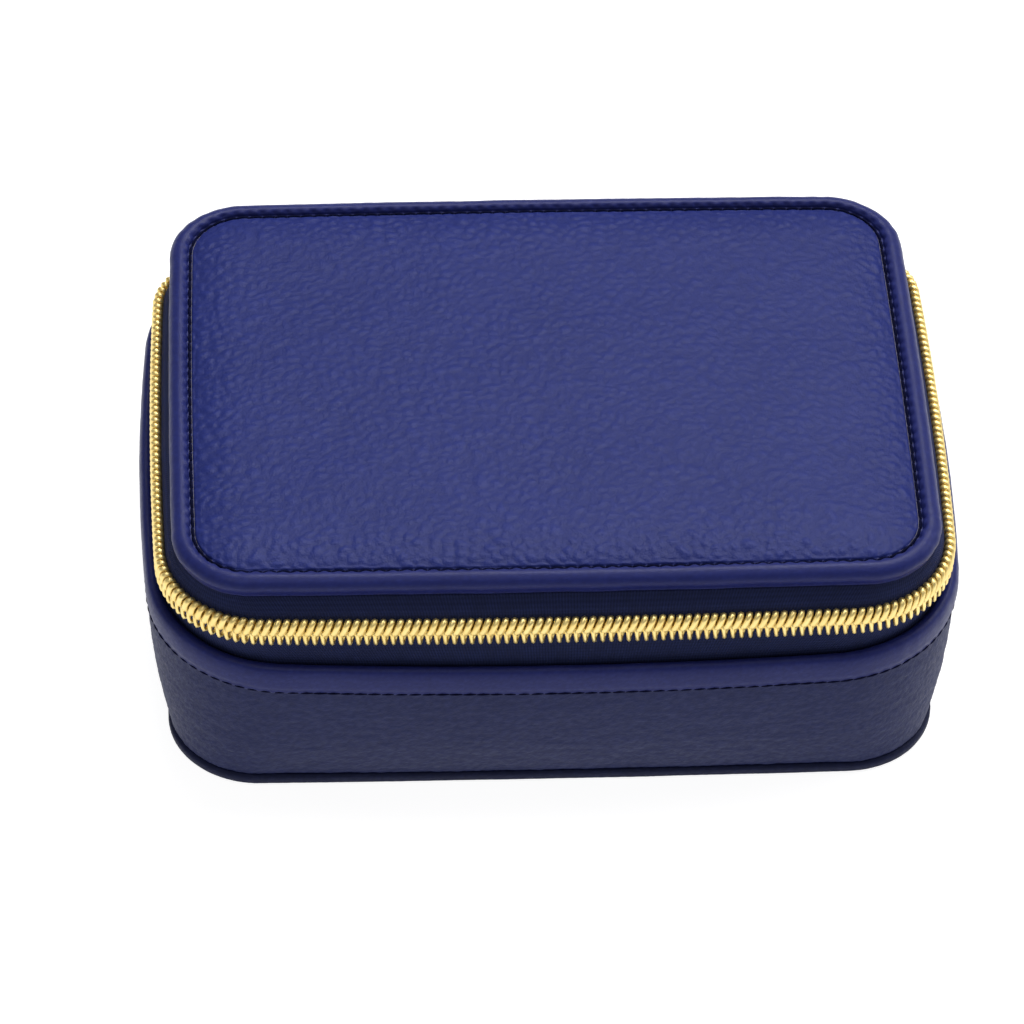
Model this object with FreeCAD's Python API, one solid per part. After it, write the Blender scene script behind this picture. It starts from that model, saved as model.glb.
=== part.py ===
import FreeCAD, Part
import math
import os

from FreeCAD import Vector

# A leather jewellery case that closes all round with a zip.
# Frame: millimetres, X along the front, Y from front to back, Z up, and the origin on the floor
# under the middle of the case. The front is at -Y and the leather hinge and the slider are at +Y.
#
# Every level of the case has the same kind of outline: four gently bowed sides joined by four
# round corners. It is written as (width, depth, corner radius, bow of each side).

# ---- Overall size and outlines ----
lid_width = 137.0
lid_depth = 102.0
lid_corner = 14.2
lid_bow = 0.65
chain_reach = 2.4
chain_corner = 19.2
chain_bow = 1.55
rim_reach = 5.7
rim_corner = 26.0
rim_bow = 3.6
foot_reach = 1.0
foot_corner = 16.3
foot_bow = 0.55

# ---- Heights, from the floor up ----
rim_top = 32.7
rim_to_chain = 7.3
chain_to_lid = 5.9
lid_thickness = 4.3
belly_height = 12.5
belly_share = 0.62

# ---- Base shell: what its wall is made of, from the outside in ----
foot_thickness = 2.2
foot_proud = 0.4
foot_round = 0.7
leather = 1.2
wall_board_thickness = 2.0
binding_turn_in = 0.8
tape_thickness = 0.7
layer_gap = 0.1
lining_thickness = 1.6
binding_height = 6.7
binding_proud = 0.3
binding_round = 2.0
binding_cap = 1.4
bottom_board_thickness = 2.5
floor_pad_thickness = 1.5
lining_drop = 0.3

# ---- Inside of the base ----
divider_thickness = 2.6
divider_top = 29.0
divider_offset = -2.0
cross_offset = 4.0
short_offset = 30.0
roll_count = 7
roll_height = 16.0
roll_gap = 0.6
roll_wall_gap = 0.8

# ---- Lid ----
lid_board_thickness = 2.0
lid_binding_under = 1.0
lid_binding_width = 3.6
lid_binding_return = 5.0
lid_edge_round_top = 2.0
lid_edge_round_under = 1.6
stitch_groove = 0.5
lid_foam_thickness = 0.7
lid_leather_thickness = 1.0
lid_leather_round = 0.7
lid_lining_thickness = 2.0
mirror_border = 17.0
mirror_corner = 9.0
mirror_bow = 0.4
mirror_thickness = 1.5
mirror_gap = 0.1
mirror_frame_width = 6.0
mirror_lip = 1.5
mirror_lip_thickness = 0.6

# ---- Zip ----
coil_depth = 2.0
coil_height = 2.75
coil_gap = 0.05
tape_shoulder = 3.3
tape_lid_inset = 2.0
hinge_leather_proud = 0.4
hinge_leather_thickness = 1.2
hinge_tape_gap = 0.2
stop_length = 1.2
stop_gap = 0.1
stop_proud = 1.0
tail_gap = 0.2
tail_lid_gap = 0.3
tail_spare = 2.0

# ---- Slider ----
slider_length = 12.5
slider_mouth = 8.8
slider_tail = 7.6
slider_plate = 1.1
slider_gap = 0.3
slider_travel = 10.0
slider_corner = 1.3
flange_thickness = 0.9
flange_drop = 1.4
neck_length = 2.4
neck_width = 1.2
neck_inset = 1.0
neck_gap = 0.3
arch_height = 2.1
arch_radius = 0.65
arch_span = 6.8

# ---- Pull: a wire link over the slider's arch, and the tab that hangs in it ----
link_wire = 1.0
link_gap = 0.08
link_length = 3.6
tab_thickness = 1.2
tab_width = 7.0
tab_neck_width = 3.6
tab_length = 24.0
tab_hole_gap = 0.5
tab_hole_margin = 0.9
tab_corner = 1.2
tab_round = 0.3

# ---- How close two heights are when they count as the same ----
same_height = 1e-6

# ---- Worked out from the values above ----
LID = (lid_width, lid_depth, lid_corner, lid_bow)
CHAIN = (lid_width + 2 * chain_reach, lid_depth + 2 * chain_reach, chain_corner, chain_bow)
RIM = (lid_width + 2 * rim_reach, lid_depth + 2 * rim_reach, rim_corner, rim_bow)
FOOT = (lid_width + 2 * foot_reach, lid_depth + 2 * foot_reach, foot_corner, foot_bow)
BELLY = tuple(f + belly_share * (r - f) for f, r in zip(FOOT, RIM))

chain_height = rim_top + rim_to_chain
lid_under = chain_height + chain_to_lid
case_height = lid_under + lid_thickness
binding_bottom = rim_top - binding_height
floor_board_top = foot_thickness + bottom_board_thickness
floor_top = floor_board_top + floor_pad_thickness
board_top = rim_top - binding_cap
lining_top = rim_top - lining_drop

board_out = leather
board_in = board_out + wall_board_thickness
tape_out = board_in + binding_turn_in
tape_in = tape_out + tape_thickness
lining_out = tape_in + layer_gap
lining_in = lining_out + lining_thickness
inside = lining_in + layer_gap

lid_board_low = lid_under + lid_binding_under
lid_board_top = lid_board_low + lid_board_thickness
lid_panel_inset = lid_binding_width + stitch_groove
lid_lining_low = lid_board_low - lid_lining_thickness
lid_lining_inset = lid_binding_return + layer_gap
MIRROR = (lid_width - 2 * mirror_border, lid_depth - 2 * mirror_border, mirror_corner, mirror_bow)
mirror_low = lid_lining_low - mirror_thickness

coil_in = coil_depth / 2
tail_length = stop_length + stop_gap + slider_length + slider_travel + tail_spare


def side_radii(shape):
    """Radii of the long and the short bowed sides, from half the span and the bow."""
    half_width, half_depth, bow = shape[0] / 2, shape[1] / 2, shape[3]
    long_side = (half_width ** 2 + bow ** 2) / (2 * bow)
    short_side = (half_depth ** 2 + bow ** 2) / (2 * bow)
    return long_side, short_side


def corner_frame(shape):
    """Centres of the rear side, the right side and the corner arc between them.

    The corner arc touches both sides from within, so its centre lies one corner radius less
    than each side's radius away from that side's centre.
    """
    half_width, half_depth, corner = shape[0] / 2, shape[1] / 2, shape[2]
    long_side, short_side = side_radii(shape)
    rear = Vector(0, half_depth - long_side, 0)
    right = Vector(half_width - short_side, 0, 0)
    across = right - rear
    span = across.Length
    reach_rear = long_side - corner
    reach_right = short_side - corner
    along = (span ** 2 + reach_rear ** 2 - reach_right ** 2) / (2 * span)
    aside = math.sqrt(reach_rear ** 2 - along ** 2)
    unit = across / span
    centre = rear + unit * along + Vector(unit.y, -unit.x, 0) * aside
    return rear, right, centre


def outline(shape, inset, z):
    """Closed wire of a bowed, round-cornered loop at height z, moved inwards by inset."""
    half_width, half_depth, corner = shape[0] / 2, shape[1] / 2, shape[2]
    rear, right, centre = corner_frame(shape)
    to_rear = (centre - rear).normalize()
    to_right = (centre - right).normalize()
    on_rear = centre + to_rear * (corner - inset)
    on_right = centre + to_right * (corner - inset)
    middle = centre + (to_rear + to_right).normalize() * (corner - inset)

    def at(point, flip_x, flip_y):
        return Vector(point.x * flip_x, point.y * flip_y, z)

    rear_mid = Vector(0, half_depth - inset, 0)
    right_mid = Vector(half_width - inset, 0, 0)
    loop = [
        (at(on_right, 1, -1), at(right_mid, 1, 1), at(on_right, 1, 1)),
        (at(on_right, 1, 1), at(middle, 1, 1), at(on_rear, 1, 1)),
        (at(on_rear, 1, 1), at(rear_mid, 1, 1), at(on_rear, -1, 1)),
        (at(on_rear, -1, 1), at(middle, -1, 1), at(on_right, -1, 1)),
        (at(on_right, -1, 1), at(right_mid, -1, 1), at(on_right, -1, -1)),
        (at(on_right, -1, -1), at(middle, -1, -1), at(on_rear, -1, -1)),
        (at(on_rear, -1, -1), at(rear_mid, 1, -1), at(on_rear, 1, -1)),
        (at(on_rear, 1, -1), at(middle, 1, -1), at(on_right, 1, -1)),
    ]
    return Part.Wire([Part.Arc(*points).toShape() for points in loop])


def rear_tangent_x(shape):
    """Where the rear side ends and the corner arc begins."""
    rear, _, centre = corner_frame(shape)
    return (centre + (centre - rear).normalize() * shape[2]).x


def prism(shape, inset, low, high):
    """Upright block with the loop as its outline."""
    return Part.Face(outline(shape, inset, low)).extrude(Vector(0, 0, high - low))


def loft(sections):
    """Solid through loops given as (shape, inset, z), straight between one and the next."""
    return Part.makeLoft([outline(*section) for section in sections], True, True)


def slab(low, high):
    """Block that is wider than the case, between two heights."""
    size = 2 * (lid_width + lid_depth)
    return Part.makeBox(size, size, high - low, Vector(-size / 2, -size / 2, low))


def block(x0, x1, y0, y1, z0, z1):
    """Box between two corners."""
    return Part.makeBox(x1 - x0, y1 - y0, z1 - z0, Vector(x0, y0, z0))


def core(inset):
    """Inside of the base wall at a depth from the leather's face, from the foot to the rim."""
    return loft([
        (FOOT, inset, foot_thickness),
        (BELLY, inset, belly_height),
        (RIM, inset + binding_proud, binding_bottom),
        (RIM, inset + binding_proud, rim_top),
    ])


def wall(outer, inner, low, high):
    """Ring of the base wall between two depths and two heights."""
    return core(outer).cut(core(inner)).common(slab(low, high))


def level_edges(shape, z):
    """Edges that lie wholly at one height."""
    boxes = [(edge, edge.BoundBox) for edge in shape.Edges]
    return [edge for edge, box in boxes if max(abs(box.ZMin - z), abs(box.ZMax - z)) < same_height]


def base_shell():
    """Leather, boards and padding of the tray, from the floor up."""
    bottom = prism(FOOT, -foot_proud, 0, foot_thickness)
    bottom = bottom.makeFillet(foot_round, level_edges(bottom, 0) + level_edges(bottom, foot_thickness))
    binding = prism(RIM, 0, binding_bottom, rim_top)
    binding = binding.makeFillet(binding_round, level_edges(binding, rim_top))
    board = wall(board_out, board_in, foot_thickness, board_top)
    return {
        "bottom_leather": bottom,
        "bottom_board": core(board_in).common(slab(foot_thickness, floor_board_top)),
        "wall_board": board,
        "wall_leather": wall(0, board_out, foot_thickness, binding_bottom),
        "rim_binding": binding.cut(board).cut(core(tape_out)),
        "wall_padding": wall(board_in, tape_in, floor_board_top, binding_bottom),
        "wall_lining": wall(lining_out, lining_in, floor_board_top, lining_top),
        "floor_pad": core(inside).common(slab(floor_board_top, floor_top)),
    }


def base_inside():
    """Dividers and ring rolls that stand on the floor pad, cut to fit inside the lining."""
    room = core(inside)
    left = divider_offset - divider_thickness / 2
    right = divider_offset + divider_thickness / 2
    cross_low = cross_offset - divider_thickness / 2
    cross_high = cross_offset + divider_thickness / 2
    short_low = short_offset - divider_thickness / 2
    short_high = short_offset + divider_thickness / 2
    reach = lid_width + lid_depth
    long_divider = block(left, right, -reach, reach, floor_top, divider_top)
    cross_divider = block(right, reach, cross_low, cross_high, floor_top, divider_top)
    short_divider = block(short_low, short_high, cross_high, reach, floor_top, divider_top)
    nodes = {
        "divider_long": long_divider.common(room),
        "divider_cross": cross_divider.common(room),
        "divider_short": short_divider.common(room),
    }
    roll_room = core(inside + roll_wall_gap)
    pitch = (FOOT[1] - 2 * inside - 2 * roll_wall_gap) / roll_count
    for number in range(roll_count):
        middle = (number - (roll_count - 1) / 2) * pitch
        roll = ring_roll(-reach, left - roll_gap, middle, pitch - roll_gap)
        nodes["ring_roll_%d" % (number + 1)] = roll.common(roll_room)
    return nodes


def ring_roll(start, end, middle, width):
    """Pad with upright sides and a half-round top, lying along X."""
    half = width / 2
    spring = floor_top + roll_height - half
    foot_left = Vector(start, middle - half, floor_top)
    foot_right = Vector(start, middle + half, floor_top)
    top_left = Vector(start, middle - half, spring)
    top_right = Vector(start, middle + half, spring)
    crown = Vector(start, middle, spring + half)
    edges = [
        Part.makeLine(foot_left, foot_right),
        Part.makeLine(foot_right, top_right),
        Part.Arc(top_right, crown, top_left).toShape(),
        Part.makeLine(top_left, foot_left),
    ]
    return Part.Face(Part.Wire(edges)).extrude(Vector(end - start, 0, 0))


def lid_panel():
    """Lid: a board wrapped by a binding, with a padded leather panel, a lining and a mirror."""
    binding = prism(LID, 0, lid_under, case_height)
    binding = binding.makeFillet(lid_edge_round_top, level_edges(binding, case_height))
    binding = binding.makeFillet(lid_edge_round_under, level_edges(binding, lid_under))
    board = prism(LID, leather, lid_board_low, lid_board_top)
    binding = binding.cut(board)
    binding = binding.cut(prism(LID, lid_binding_width, lid_board_top, case_height))
    binding = binding.cut(prism(LID, lid_binding_return, lid_under, lid_board_low))
    leather_low = lid_board_top + lid_foam_thickness
    leather_top = leather_low + lid_leather_thickness
    panel = prism(LID, lid_panel_inset, leather_low, leather_top)
    panel = panel.makeFillet(lid_leather_round, level_edges(panel, leather_top))
    frame_low = mirror_low - mirror_lip_thickness
    frame = prism(MIRROR, -mirror_frame_width, frame_low, lid_lining_low)
    frame = frame.makeFillet(mirror_lip_thickness, level_edges(frame, frame_low))
    frame = frame.cut(prism(MIRROR, -mirror_gap, mirror_low, lid_lining_low))
    return {
        "lid_board": board,
        "lid_binding": binding,
        "lid_foam": prism(LID, lid_panel_inset, lid_board_top, leather_low),
        "lid_top_leather": panel,
        "lid_lining": prism(LID, lid_lining_inset, lid_lining_low, lid_board_low),
        "lid_mirror": prism(MIRROR, 0, mirror_low, lid_lining_low),
        "mirror_frame": frame.cut(prism(MIRROR, mirror_lip, frame_low, mirror_low)),
    }


def tape_band(below):
    """Tape all round, below the chain's middle from within the rim, or above it from the lid."""
    shoulder = chain_height - coil_height - coil_gap
    if below:
        levels = [
            (RIM, tape_out + binding_proud, binding_bottom),
            (RIM, tape_out + binding_proud, rim_top),
            (CHAIN, coil_in, rim_top + tape_shoulder),
            (CHAIN, coil_in, chain_height - coil_gap),
        ]
    else:
        levels = [
            (CHAIN, coil_in, chain_height + coil_gap),
            (CHAIN, coil_in, 2 * chain_height - shoulder),
            (LID, tape_lid_inset, lid_under),
        ]
    inner = [(shape, inset + tape_thickness, z) for shape, inset, z in levels]
    return loft(levels).cut(loft(inner))


def coil_band(low, high):
    """Half of the chain, all round, between two heights."""
    return prism(CHAIN, -coil_in, low, high).cut(prism(CHAIN, coil_in, low, high))


def tail_span():
    """Where the chain's tails run along the rear, from the hinge leather out to the corner."""
    end = rear_tangent_x(CHAIN) - tail_spare
    return end - tail_length, end


def rear_block(half_width):
    """Everything at the back of the case within a distance of its middle."""
    return block(-half_width, half_width, 0, lid_width + lid_depth, 0, case_height)


def zip_halves():
    """Tapes and coils of both halves, with the tails that stay on the base beside the hinge.

    The slider's neck passes between the two halves, so a slot is left along its way.
    """
    tail_start, tail_end = tail_span()
    coil_start = tail_start + 2 * stop_gap + stop_length
    low_tape = tape_band(True)
    high_tape = tape_band(False)
    low_coil = coil_band(chain_height - coil_gap - coil_height, chain_height - coil_gap)
    high_coil = coil_band(chain_height + coil_gap, chain_height + coil_gap + coil_height)
    slot_end = coil_start + neck_inset + neck_length + slider_travel + neck_gap
    half_slot = neck_width / 2 + neck_gap
    reach = lid_width + lid_depth
    slot = block(-slot_end, -tail_start, 0, reach, chain_height - half_slot, chain_height + half_slot)
    tails = rear_block(tail_end - tail_gap)
    tail_tape = prism(CHAIN, coil_in, chain_height + coil_gap, lid_under - tail_lid_gap)
    tail_tape = tail_tape.cut(prism(CHAIN, coil_in + tape_thickness, 0, case_height))
    return {
        "zip_lower_tape": low_tape.cut(rear_block(tail_start)).cut(slot),
        "zip_lower_coil": low_coil.cut(rear_block(coil_start)).cut(slot),
        "zip_tail_tape": tail_tape.common(tails).cut(rear_block(tail_start)).cut(slot),
        "zip_tail_coil": high_coil.common(tails).cut(rear_block(coil_start)).cut(slot),
        "zip_upper_tape": high_tape.cut(rear_block(tail_end)),
        "zip_upper_coil": high_coil.cut(rear_block(tail_end)),
    }


def zip_stops():
    """Four small metal stops, at the ends of the upper and the lower half on each side."""
    start = tail_span()[0] + stop_gap
    end = start + stop_length
    half_slot = neck_width / 2 + neck_gap
    top = chain_height + coil_gap + coil_height
    bottom = chain_height - coil_gap - coil_height
    ring = prism(CHAIN, -coil_in - stop_proud, bottom, top).cut(prism(CHAIN, coil_in, bottom, top))
    reach = lid_width + lid_depth
    stops = []
    for low, high in ((bottom, chain_height - half_slot), (chain_height + half_slot, top)):
        stops.append(ring.common(block(start, end, 0, reach, low, high)))
        stops.append(ring.common(block(-end, -start, 0, reach, low, high)))
    return Part.makeCompound(stops)


def hinge_leather():
    """Leather spine between the tails, from inside the rim to under the lid's binding."""
    levels = [
        (RIM, tape_out + binding_proud, binding_bottom, tape_thickness),
        (RIM, tape_out + binding_proud, rim_top, tape_thickness),
        (CHAIN, -hinge_leather_proud, rim_top + tape_shoulder, hinge_leather_thickness),
        (CHAIN, -hinge_leather_proud, 2 * chain_height - rim_top - tape_shoulder, hinge_leather_thickness),
        (LID, tape_lid_inset, lid_under, hinge_leather_thickness),
    ]
    outer = loft([(shape, inset, z) for shape, inset, z, thick in levels])
    inner = loft([(shape, inset + thick, z) for shape, inset, z, thick in levels])
    return outer.cut(inner).common(rear_block(tail_span()[0] - hinge_tape_gap))


def slider_frame():
    """Place of the slider's middle at rest, and its turn about Z in degrees.

    The slide is a straight line, the tangent of the chain's rear arc at the middle of the travel.
    """
    radius = side_radii(CHAIN)[0]
    rest_x = tail_span()[0] + 2 * stop_gap + stop_length + slider_length / 2
    turn = math.asin((rest_x + slider_travel / 2) / radius)
    along = Vector(math.cos(turn), math.sin(turn), 0)
    middle = Vector(-radius * math.sin(turn), CHAIN[1] / 2 - radius * (1 - math.cos(turn)), chain_height)
    return middle + along * (slider_travel / 2), math.degrees(turn)


def placed(shape):
    """Moves a piece drawn about the slider's middle to its place on the rear of the case.

    Before the move, X runs along the chain, Y points out of the case and Z is up.
    """
    middle, turn = slider_frame()
    piece = shape.copy()
    piece.rotate(Vector(0, 0, 0), Vector(0, 0, 1), turn)
    piece.translate(middle)
    return piece


def slider_outline(low, high):
    """Tapered plate of the slider between two distances from the chain's middle."""
    half = slider_length / 2
    corners = [
        Vector(half, low, slider_mouth / 2),
        Vector(-half, low, slider_tail / 2),
        Vector(-half, low, -slider_tail / 2),
        Vector(half, low, -slider_mouth / 2),
    ]
    plate = Part.Face(Part.makePolygon(corners + corners[:1])).extrude(Vector(0, high - low, 0))
    upright = [e for e in plate.Edges if e.BoundBox.YLength > (high - low) / 2]
    return plate.makeFillet(slider_corner, upright)


def arch_axis():
    """Distance of the arch's bar from the chain's middle."""
    return coil_in + slider_gap + slider_plate + arch_height


def zip_slider():
    """Two plates round the chain, joined by a neck, with edge flanges and an arch for the pull."""
    face = coil_in + slider_gap
    outer = slider_outline(face, face + slider_plate)
    rear_face = -coil_in - tape_thickness - slider_gap
    inner = slider_outline(rear_face - slider_plate, rear_face)
    half = slider_length / 2
    neck_x = half - neck_inset - neck_length
    low, high = rear_face - slider_plate / 2, face + slider_plate / 2
    neck = block(neck_x, neck_x + neck_length, low, high, -neck_width / 2, neck_width / 2)
    body = slider_outline(face - flange_drop, face + slider_plate)
    middle = block(-half, half, face - 2 * flange_drop, face, -slider_mouth, slider_mouth)
    hollow_half = slider_tail / 2 - flange_thickness
    rims = body.cut(block(-half, half, -half, half, -hollow_half, hollow_half)).common(middle)
    bar_y = arch_axis()
    reach = arch_span / 2
    bar = Part.makeCylinder(arch_radius, arch_span, Vector(-reach, bar_y, 0), Vector(1, 0, 0))
    arch = bar
    for x in (-reach, reach):
        arch = arch.fuse(Part.makeCylinder(arch_radius, bar_y - face - slider_plate / 2,
                                           Vector(x, face + slider_plate / 2, 0), Vector(0, 1, 0)))
        arch = arch.fuse(Part.makeSphere(arch_radius, Vector(x, bar_y, 0)))
    return placed(outer.fuse([inner, neck, rims, arch]).removeSplitter())


def pull_link():
    """Oval of round wire that hangs from the arch, in the plane square to the chain."""
    bend = arch_radius + link_gap + link_wire / 2
    top = Vector(0, arch_axis(), 0)
    low = top - Vector(0, 0, link_length)
    side = Vector(0, bend, 0)
    path = Part.Wire([
        Part.Arc(top - side, top + Vector(0, 0, bend), top + side).toShape(),
        Part.makeLine(top + side, low + side),
        Part.Arc(low + side, low - Vector(0, 0, bend), low - side).toShape(),
        Part.makeLine(low - side, top - side),
    ])
    ring = Part.Wire(Part.makeCircle(link_wire / 2, top - side, Vector(0, 0, 1)))
    return placed(path.makePipeShell([ring], True, True))


def tab_pivot():
    """Middle of the tab's hole: the lowest point of the link's wire."""
    bend = arch_radius + link_gap + link_wire / 2
    return Vector(0, arch_axis(), -link_length - bend)


def pull_tab():
    """Flat metal tab with a round hole at its narrow upper end."""
    pivot = tab_pivot()
    hole = link_wire / 2 + tab_hole_gap
    top = pivot.z + hole + tab_hole_margin
    front = pivot.y - tab_thickness / 2
    corners = [
        Vector(-tab_neck_width / 2, front, top),
        Vector(tab_neck_width / 2, front, top),
        Vector(tab_width / 2, front, top - tab_width),
        Vector(tab_width / 2, front, top - tab_length),
        Vector(-tab_width / 2, front, top - tab_length),
        Vector(-tab_width / 2, front, top - tab_width),
    ]
    tab = Part.Face(Part.makePolygon(corners + corners[:1])).extrude(Vector(0, tab_thickness, 0))
    tab = tab.makeFillet(tab_corner, [e for e in tab.Edges if e.BoundBox.YLength > tab_thickness / 2])
    tab = tab.makeFillet(tab_round, tab.Edges)
    bore = Part.makeCylinder(hole, 3 * tab_thickness, Vector(0, front - tab_thickness, pivot.z),
                             Vector(0, 1, 0))
    return placed(tab.cut(bore))


def main():
    """Builds every piece, checks it is sound and writes it to parts/."""
    nodes = {}
    nodes.update(base_shell())
    nodes.update(base_inside())
    nodes.update(lid_panel())
    nodes.update(zip_halves())
    nodes["zip_stops"] = zip_stops()
    nodes["hinge_leather"] = hinge_leather()
    nodes["zip_slider"] = zip_slider()
    nodes["pull_link"] = pull_link()
    nodes["pull_tab"] = pull_tab()
    os.makedirs("parts", exist_ok=True)
    for name, shape in nodes.items():
        box = shape.BoundBox
        print("%-18s solids %d valid %s volume %9.1f  x %7.2f %7.2f  y %7.2f %7.2f  z %6.2f %6.2f" % (
            name, len(shape.Solids), shape.isValid(), shape.Volume,
            box.XMin, box.XMax, box.YMin, box.YMax, box.ZMin, box.ZMax))
        shape.exportStep("parts/%s.step" % name)
    place, turn = slider_frame()
    along = Vector(math.cos(math.radians(turn)), math.sin(math.radians(turn)), 0)
    outward = Vector(-along.y, along.x, 0)
    bar = place + outward * arch_axis()
    hole = place + outward * arch_axis() + Vector(0, 0, tab_pivot().z)
    print("slide along", -along)
    print("link turns about", bar, "tab swings about", hole, "facing", outward)
    print("lid turns about y", CHAIN[1] / 2 + coil_in, "z", chain_height)


main()
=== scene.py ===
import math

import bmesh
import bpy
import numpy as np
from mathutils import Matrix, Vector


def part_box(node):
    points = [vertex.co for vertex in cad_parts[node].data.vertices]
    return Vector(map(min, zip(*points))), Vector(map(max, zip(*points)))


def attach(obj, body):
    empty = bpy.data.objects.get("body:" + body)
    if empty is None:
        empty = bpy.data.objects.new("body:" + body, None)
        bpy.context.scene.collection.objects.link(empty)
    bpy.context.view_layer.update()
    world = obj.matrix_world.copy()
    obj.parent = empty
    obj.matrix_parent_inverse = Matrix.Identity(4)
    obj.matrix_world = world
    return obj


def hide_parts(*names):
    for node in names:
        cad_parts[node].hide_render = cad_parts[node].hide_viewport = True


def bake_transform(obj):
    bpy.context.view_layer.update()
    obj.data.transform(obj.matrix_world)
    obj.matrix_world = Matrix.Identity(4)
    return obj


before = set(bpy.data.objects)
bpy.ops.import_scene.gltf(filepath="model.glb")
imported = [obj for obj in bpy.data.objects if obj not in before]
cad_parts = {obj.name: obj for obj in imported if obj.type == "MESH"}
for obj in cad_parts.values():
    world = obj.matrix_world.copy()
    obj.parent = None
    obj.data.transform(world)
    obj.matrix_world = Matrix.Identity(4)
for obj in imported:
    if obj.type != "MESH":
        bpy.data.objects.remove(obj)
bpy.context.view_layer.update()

# %% [markdown]
# # A leather jewellery case
# The frame above brings in the case's construction: boards, chain, slider and hinge, at their real
# size and in their real places. This notebook gives it its looks. Nothing there is moved. Where a
# plain solid stands for something soft, a modelled piece takes its place.
#
# Lengths are in metres, as Blender's are, so a small size is written as a number of `MM`.

MM = 0.001
TINY = 1e-12    # put under a division where a length may be nothing

# %% [markdown]
# ## One outline for every level
# The lid, the chain, the rim and the foot are all the same kind of loop: four gently bowed sides
# joined by four round corners. It could be drawn as a curve object for each piece, but then every
# piece would need its own curve. Here it is a function instead. A loop is (width, depth, corner
# radius, bow of each side, draw of the rear corners), and a *station* from 0 to 8 says where on it
# a point lies: each whole number is the start of one of the eight arcs, anticlockwise, beginning
# with the right side. The zip is pulled in a little where it turns the two rear corners.
# Widths and depths are read from the construction, and only corners and bows are written here.

# %% Loops of eight arcs
def size_of(node):
    """Width, depth of a piece of the construction."""
    low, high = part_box(node)
    return high[0] - low[0], high[1] - low[1]


LID = (*size_of("lid_binding"), 14.2 * MM, 0.65 * MM, 0.0)
CHAIN = (size_of("zip_upper_coil")[0] - 2 * MM, LID[1] + 4.8 * MM, 19.2 * MM, 1.55 * MM, 3.0 * MM)
RIM = (*size_of("rim_binding"), 26.0 * MM, 3.6 * MM, 0.0)
FOOT_PROUD = 0.4 * MM
FOOT = (*(side - 2 * FOOT_PROUD for side in size_of("bottom_leather")), 16.3 * MM, 0.55 * MM, 0.0)
MIRROR = (*size_of("lid_mirror"), 9.0 * MM, 0.4 * MM, 0.0)

# The draw sets in this far from the middle, in x and in y, and grows to its whole over this
# length. A share of it goes to the front as well.
DRAW_FROM, DRAW_OVER = (50 * MM, 31 * MM), (10 * MM, 13 * MM)
DRAW_FORWARD = 0.4


def eased(value):
    """The smooth step 3 t^2 - 2 t^3, with t the value held between 0 and 1."""
    t = np.clip(value, 0, 1)
    return t * t * (3 - 2 * t)


def arcs_of(shape, inset):
    """Centres, radii, start angles and sweeps of the eight arcs.

    A bowed side of half span h and bow b is an arc of radius (h^2 + b^2) / 2b. The corner arc
    touches both of its sides from within, so its centre is where two circles about their centres
    cross, each one corner radius smaller than the side.
    """
    half_w, half_d, corner, bow = shape[0] / 2, shape[1] / 2, shape[2], shape[3]
    long_r = (half_w**2 + bow**2) / (2 * bow)
    short_r = (half_d**2 + bow**2) / (2 * bow)
    rear_y, right_x = half_d - long_r, half_w - short_r
    span = np.hypot(right_x, rear_y)
    reach = long_r - corner
    along = (span**2 + reach**2 - (short_r - corner) ** 2) / (2 * span)
    aside = np.sqrt(reach**2 - along**2)
    unit_x, unit_y = right_x / span, -rear_y / span
    px = unit_x * along + unit_y * aside
    py = rear_y + unit_y * along - unit_x * aside
    a_side = np.arctan2(py, px - right_x)
    a_rear = np.arctan2(px, py - rear_y)
    zero = np.zeros_like(px)
    quarter = math.pi / 2
    centre_x = np.array([right_x, px, zero, -px, -right_x, -px, zero, px])
    centre_y = np.array([zero, py, rear_y, py, zero, -py, -rear_y, -py])
    radius = np.array([short_r, corner + zero, long_r, corner + zero] * 2) - inset
    start = np.array([-a_side, a_side, quarter - a_rear, quarter + a_rear])
    start = np.concatenate([start, start + 2 * quarter])
    bend = quarter - a_side - a_rear
    sweep = np.array([2 * a_side, bend, 2 * a_rear, bend] * 2)
    return centre_x, centre_y, radius, start, sweep


def loop(shape, inset, station):
    """Points and outward directions of a loop moved in by inset.

    shape and inset may be arrays, one entry for each level, and station has one entry for each
    point, so a whole wall comes out at once. A point is its arc's centre plus its radius times
    the direction (cos a, sin a), and that direction is also the way out of the case. At the rear
    corners the draw is taken off, with a smooth step in x times a smooth step in y.
    """
    shape = [np.atleast_1d(np.asarray(part, float)) for part in shape]
    inset = np.atleast_1d(np.asarray(inset, float))
    rows = max(len(inset), max(len(part) for part in shape))
    shape = [np.broadcast_to(part, rows) for part in shape]
    station = np.asarray(station, float)
    arc = np.floor(station).astype(int)
    share = station - arc
    arc = arc % 8
    centre_x, centre_y, radius, start, sweep = arcs_of(shape, np.broadcast_to(inset, rows))
    angle = start[arc] + sweep[arc] * share[:, None]
    out_x, out_y = np.cos(angle), np.sin(angle)
    x = centre_x[arc] + radius[arc] * out_x
    y = centre_y[arc] + radius[arc] * out_y
    draw = shape[4] * eased((np.abs(x) - DRAW_FROM[0]) / DRAW_OVER[0])
    draw = draw * eased((y - DRAW_FROM[1]) / DRAW_OVER[1])
    x, y = x - np.sign(x) * draw, y - DRAW_FORWARD * draw
    return np.stack([x.T, y.T], -1), np.stack([out_x.T, out_y.T], -1)


MEASURED = 4001    # points at which a loop's length is added up


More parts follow.
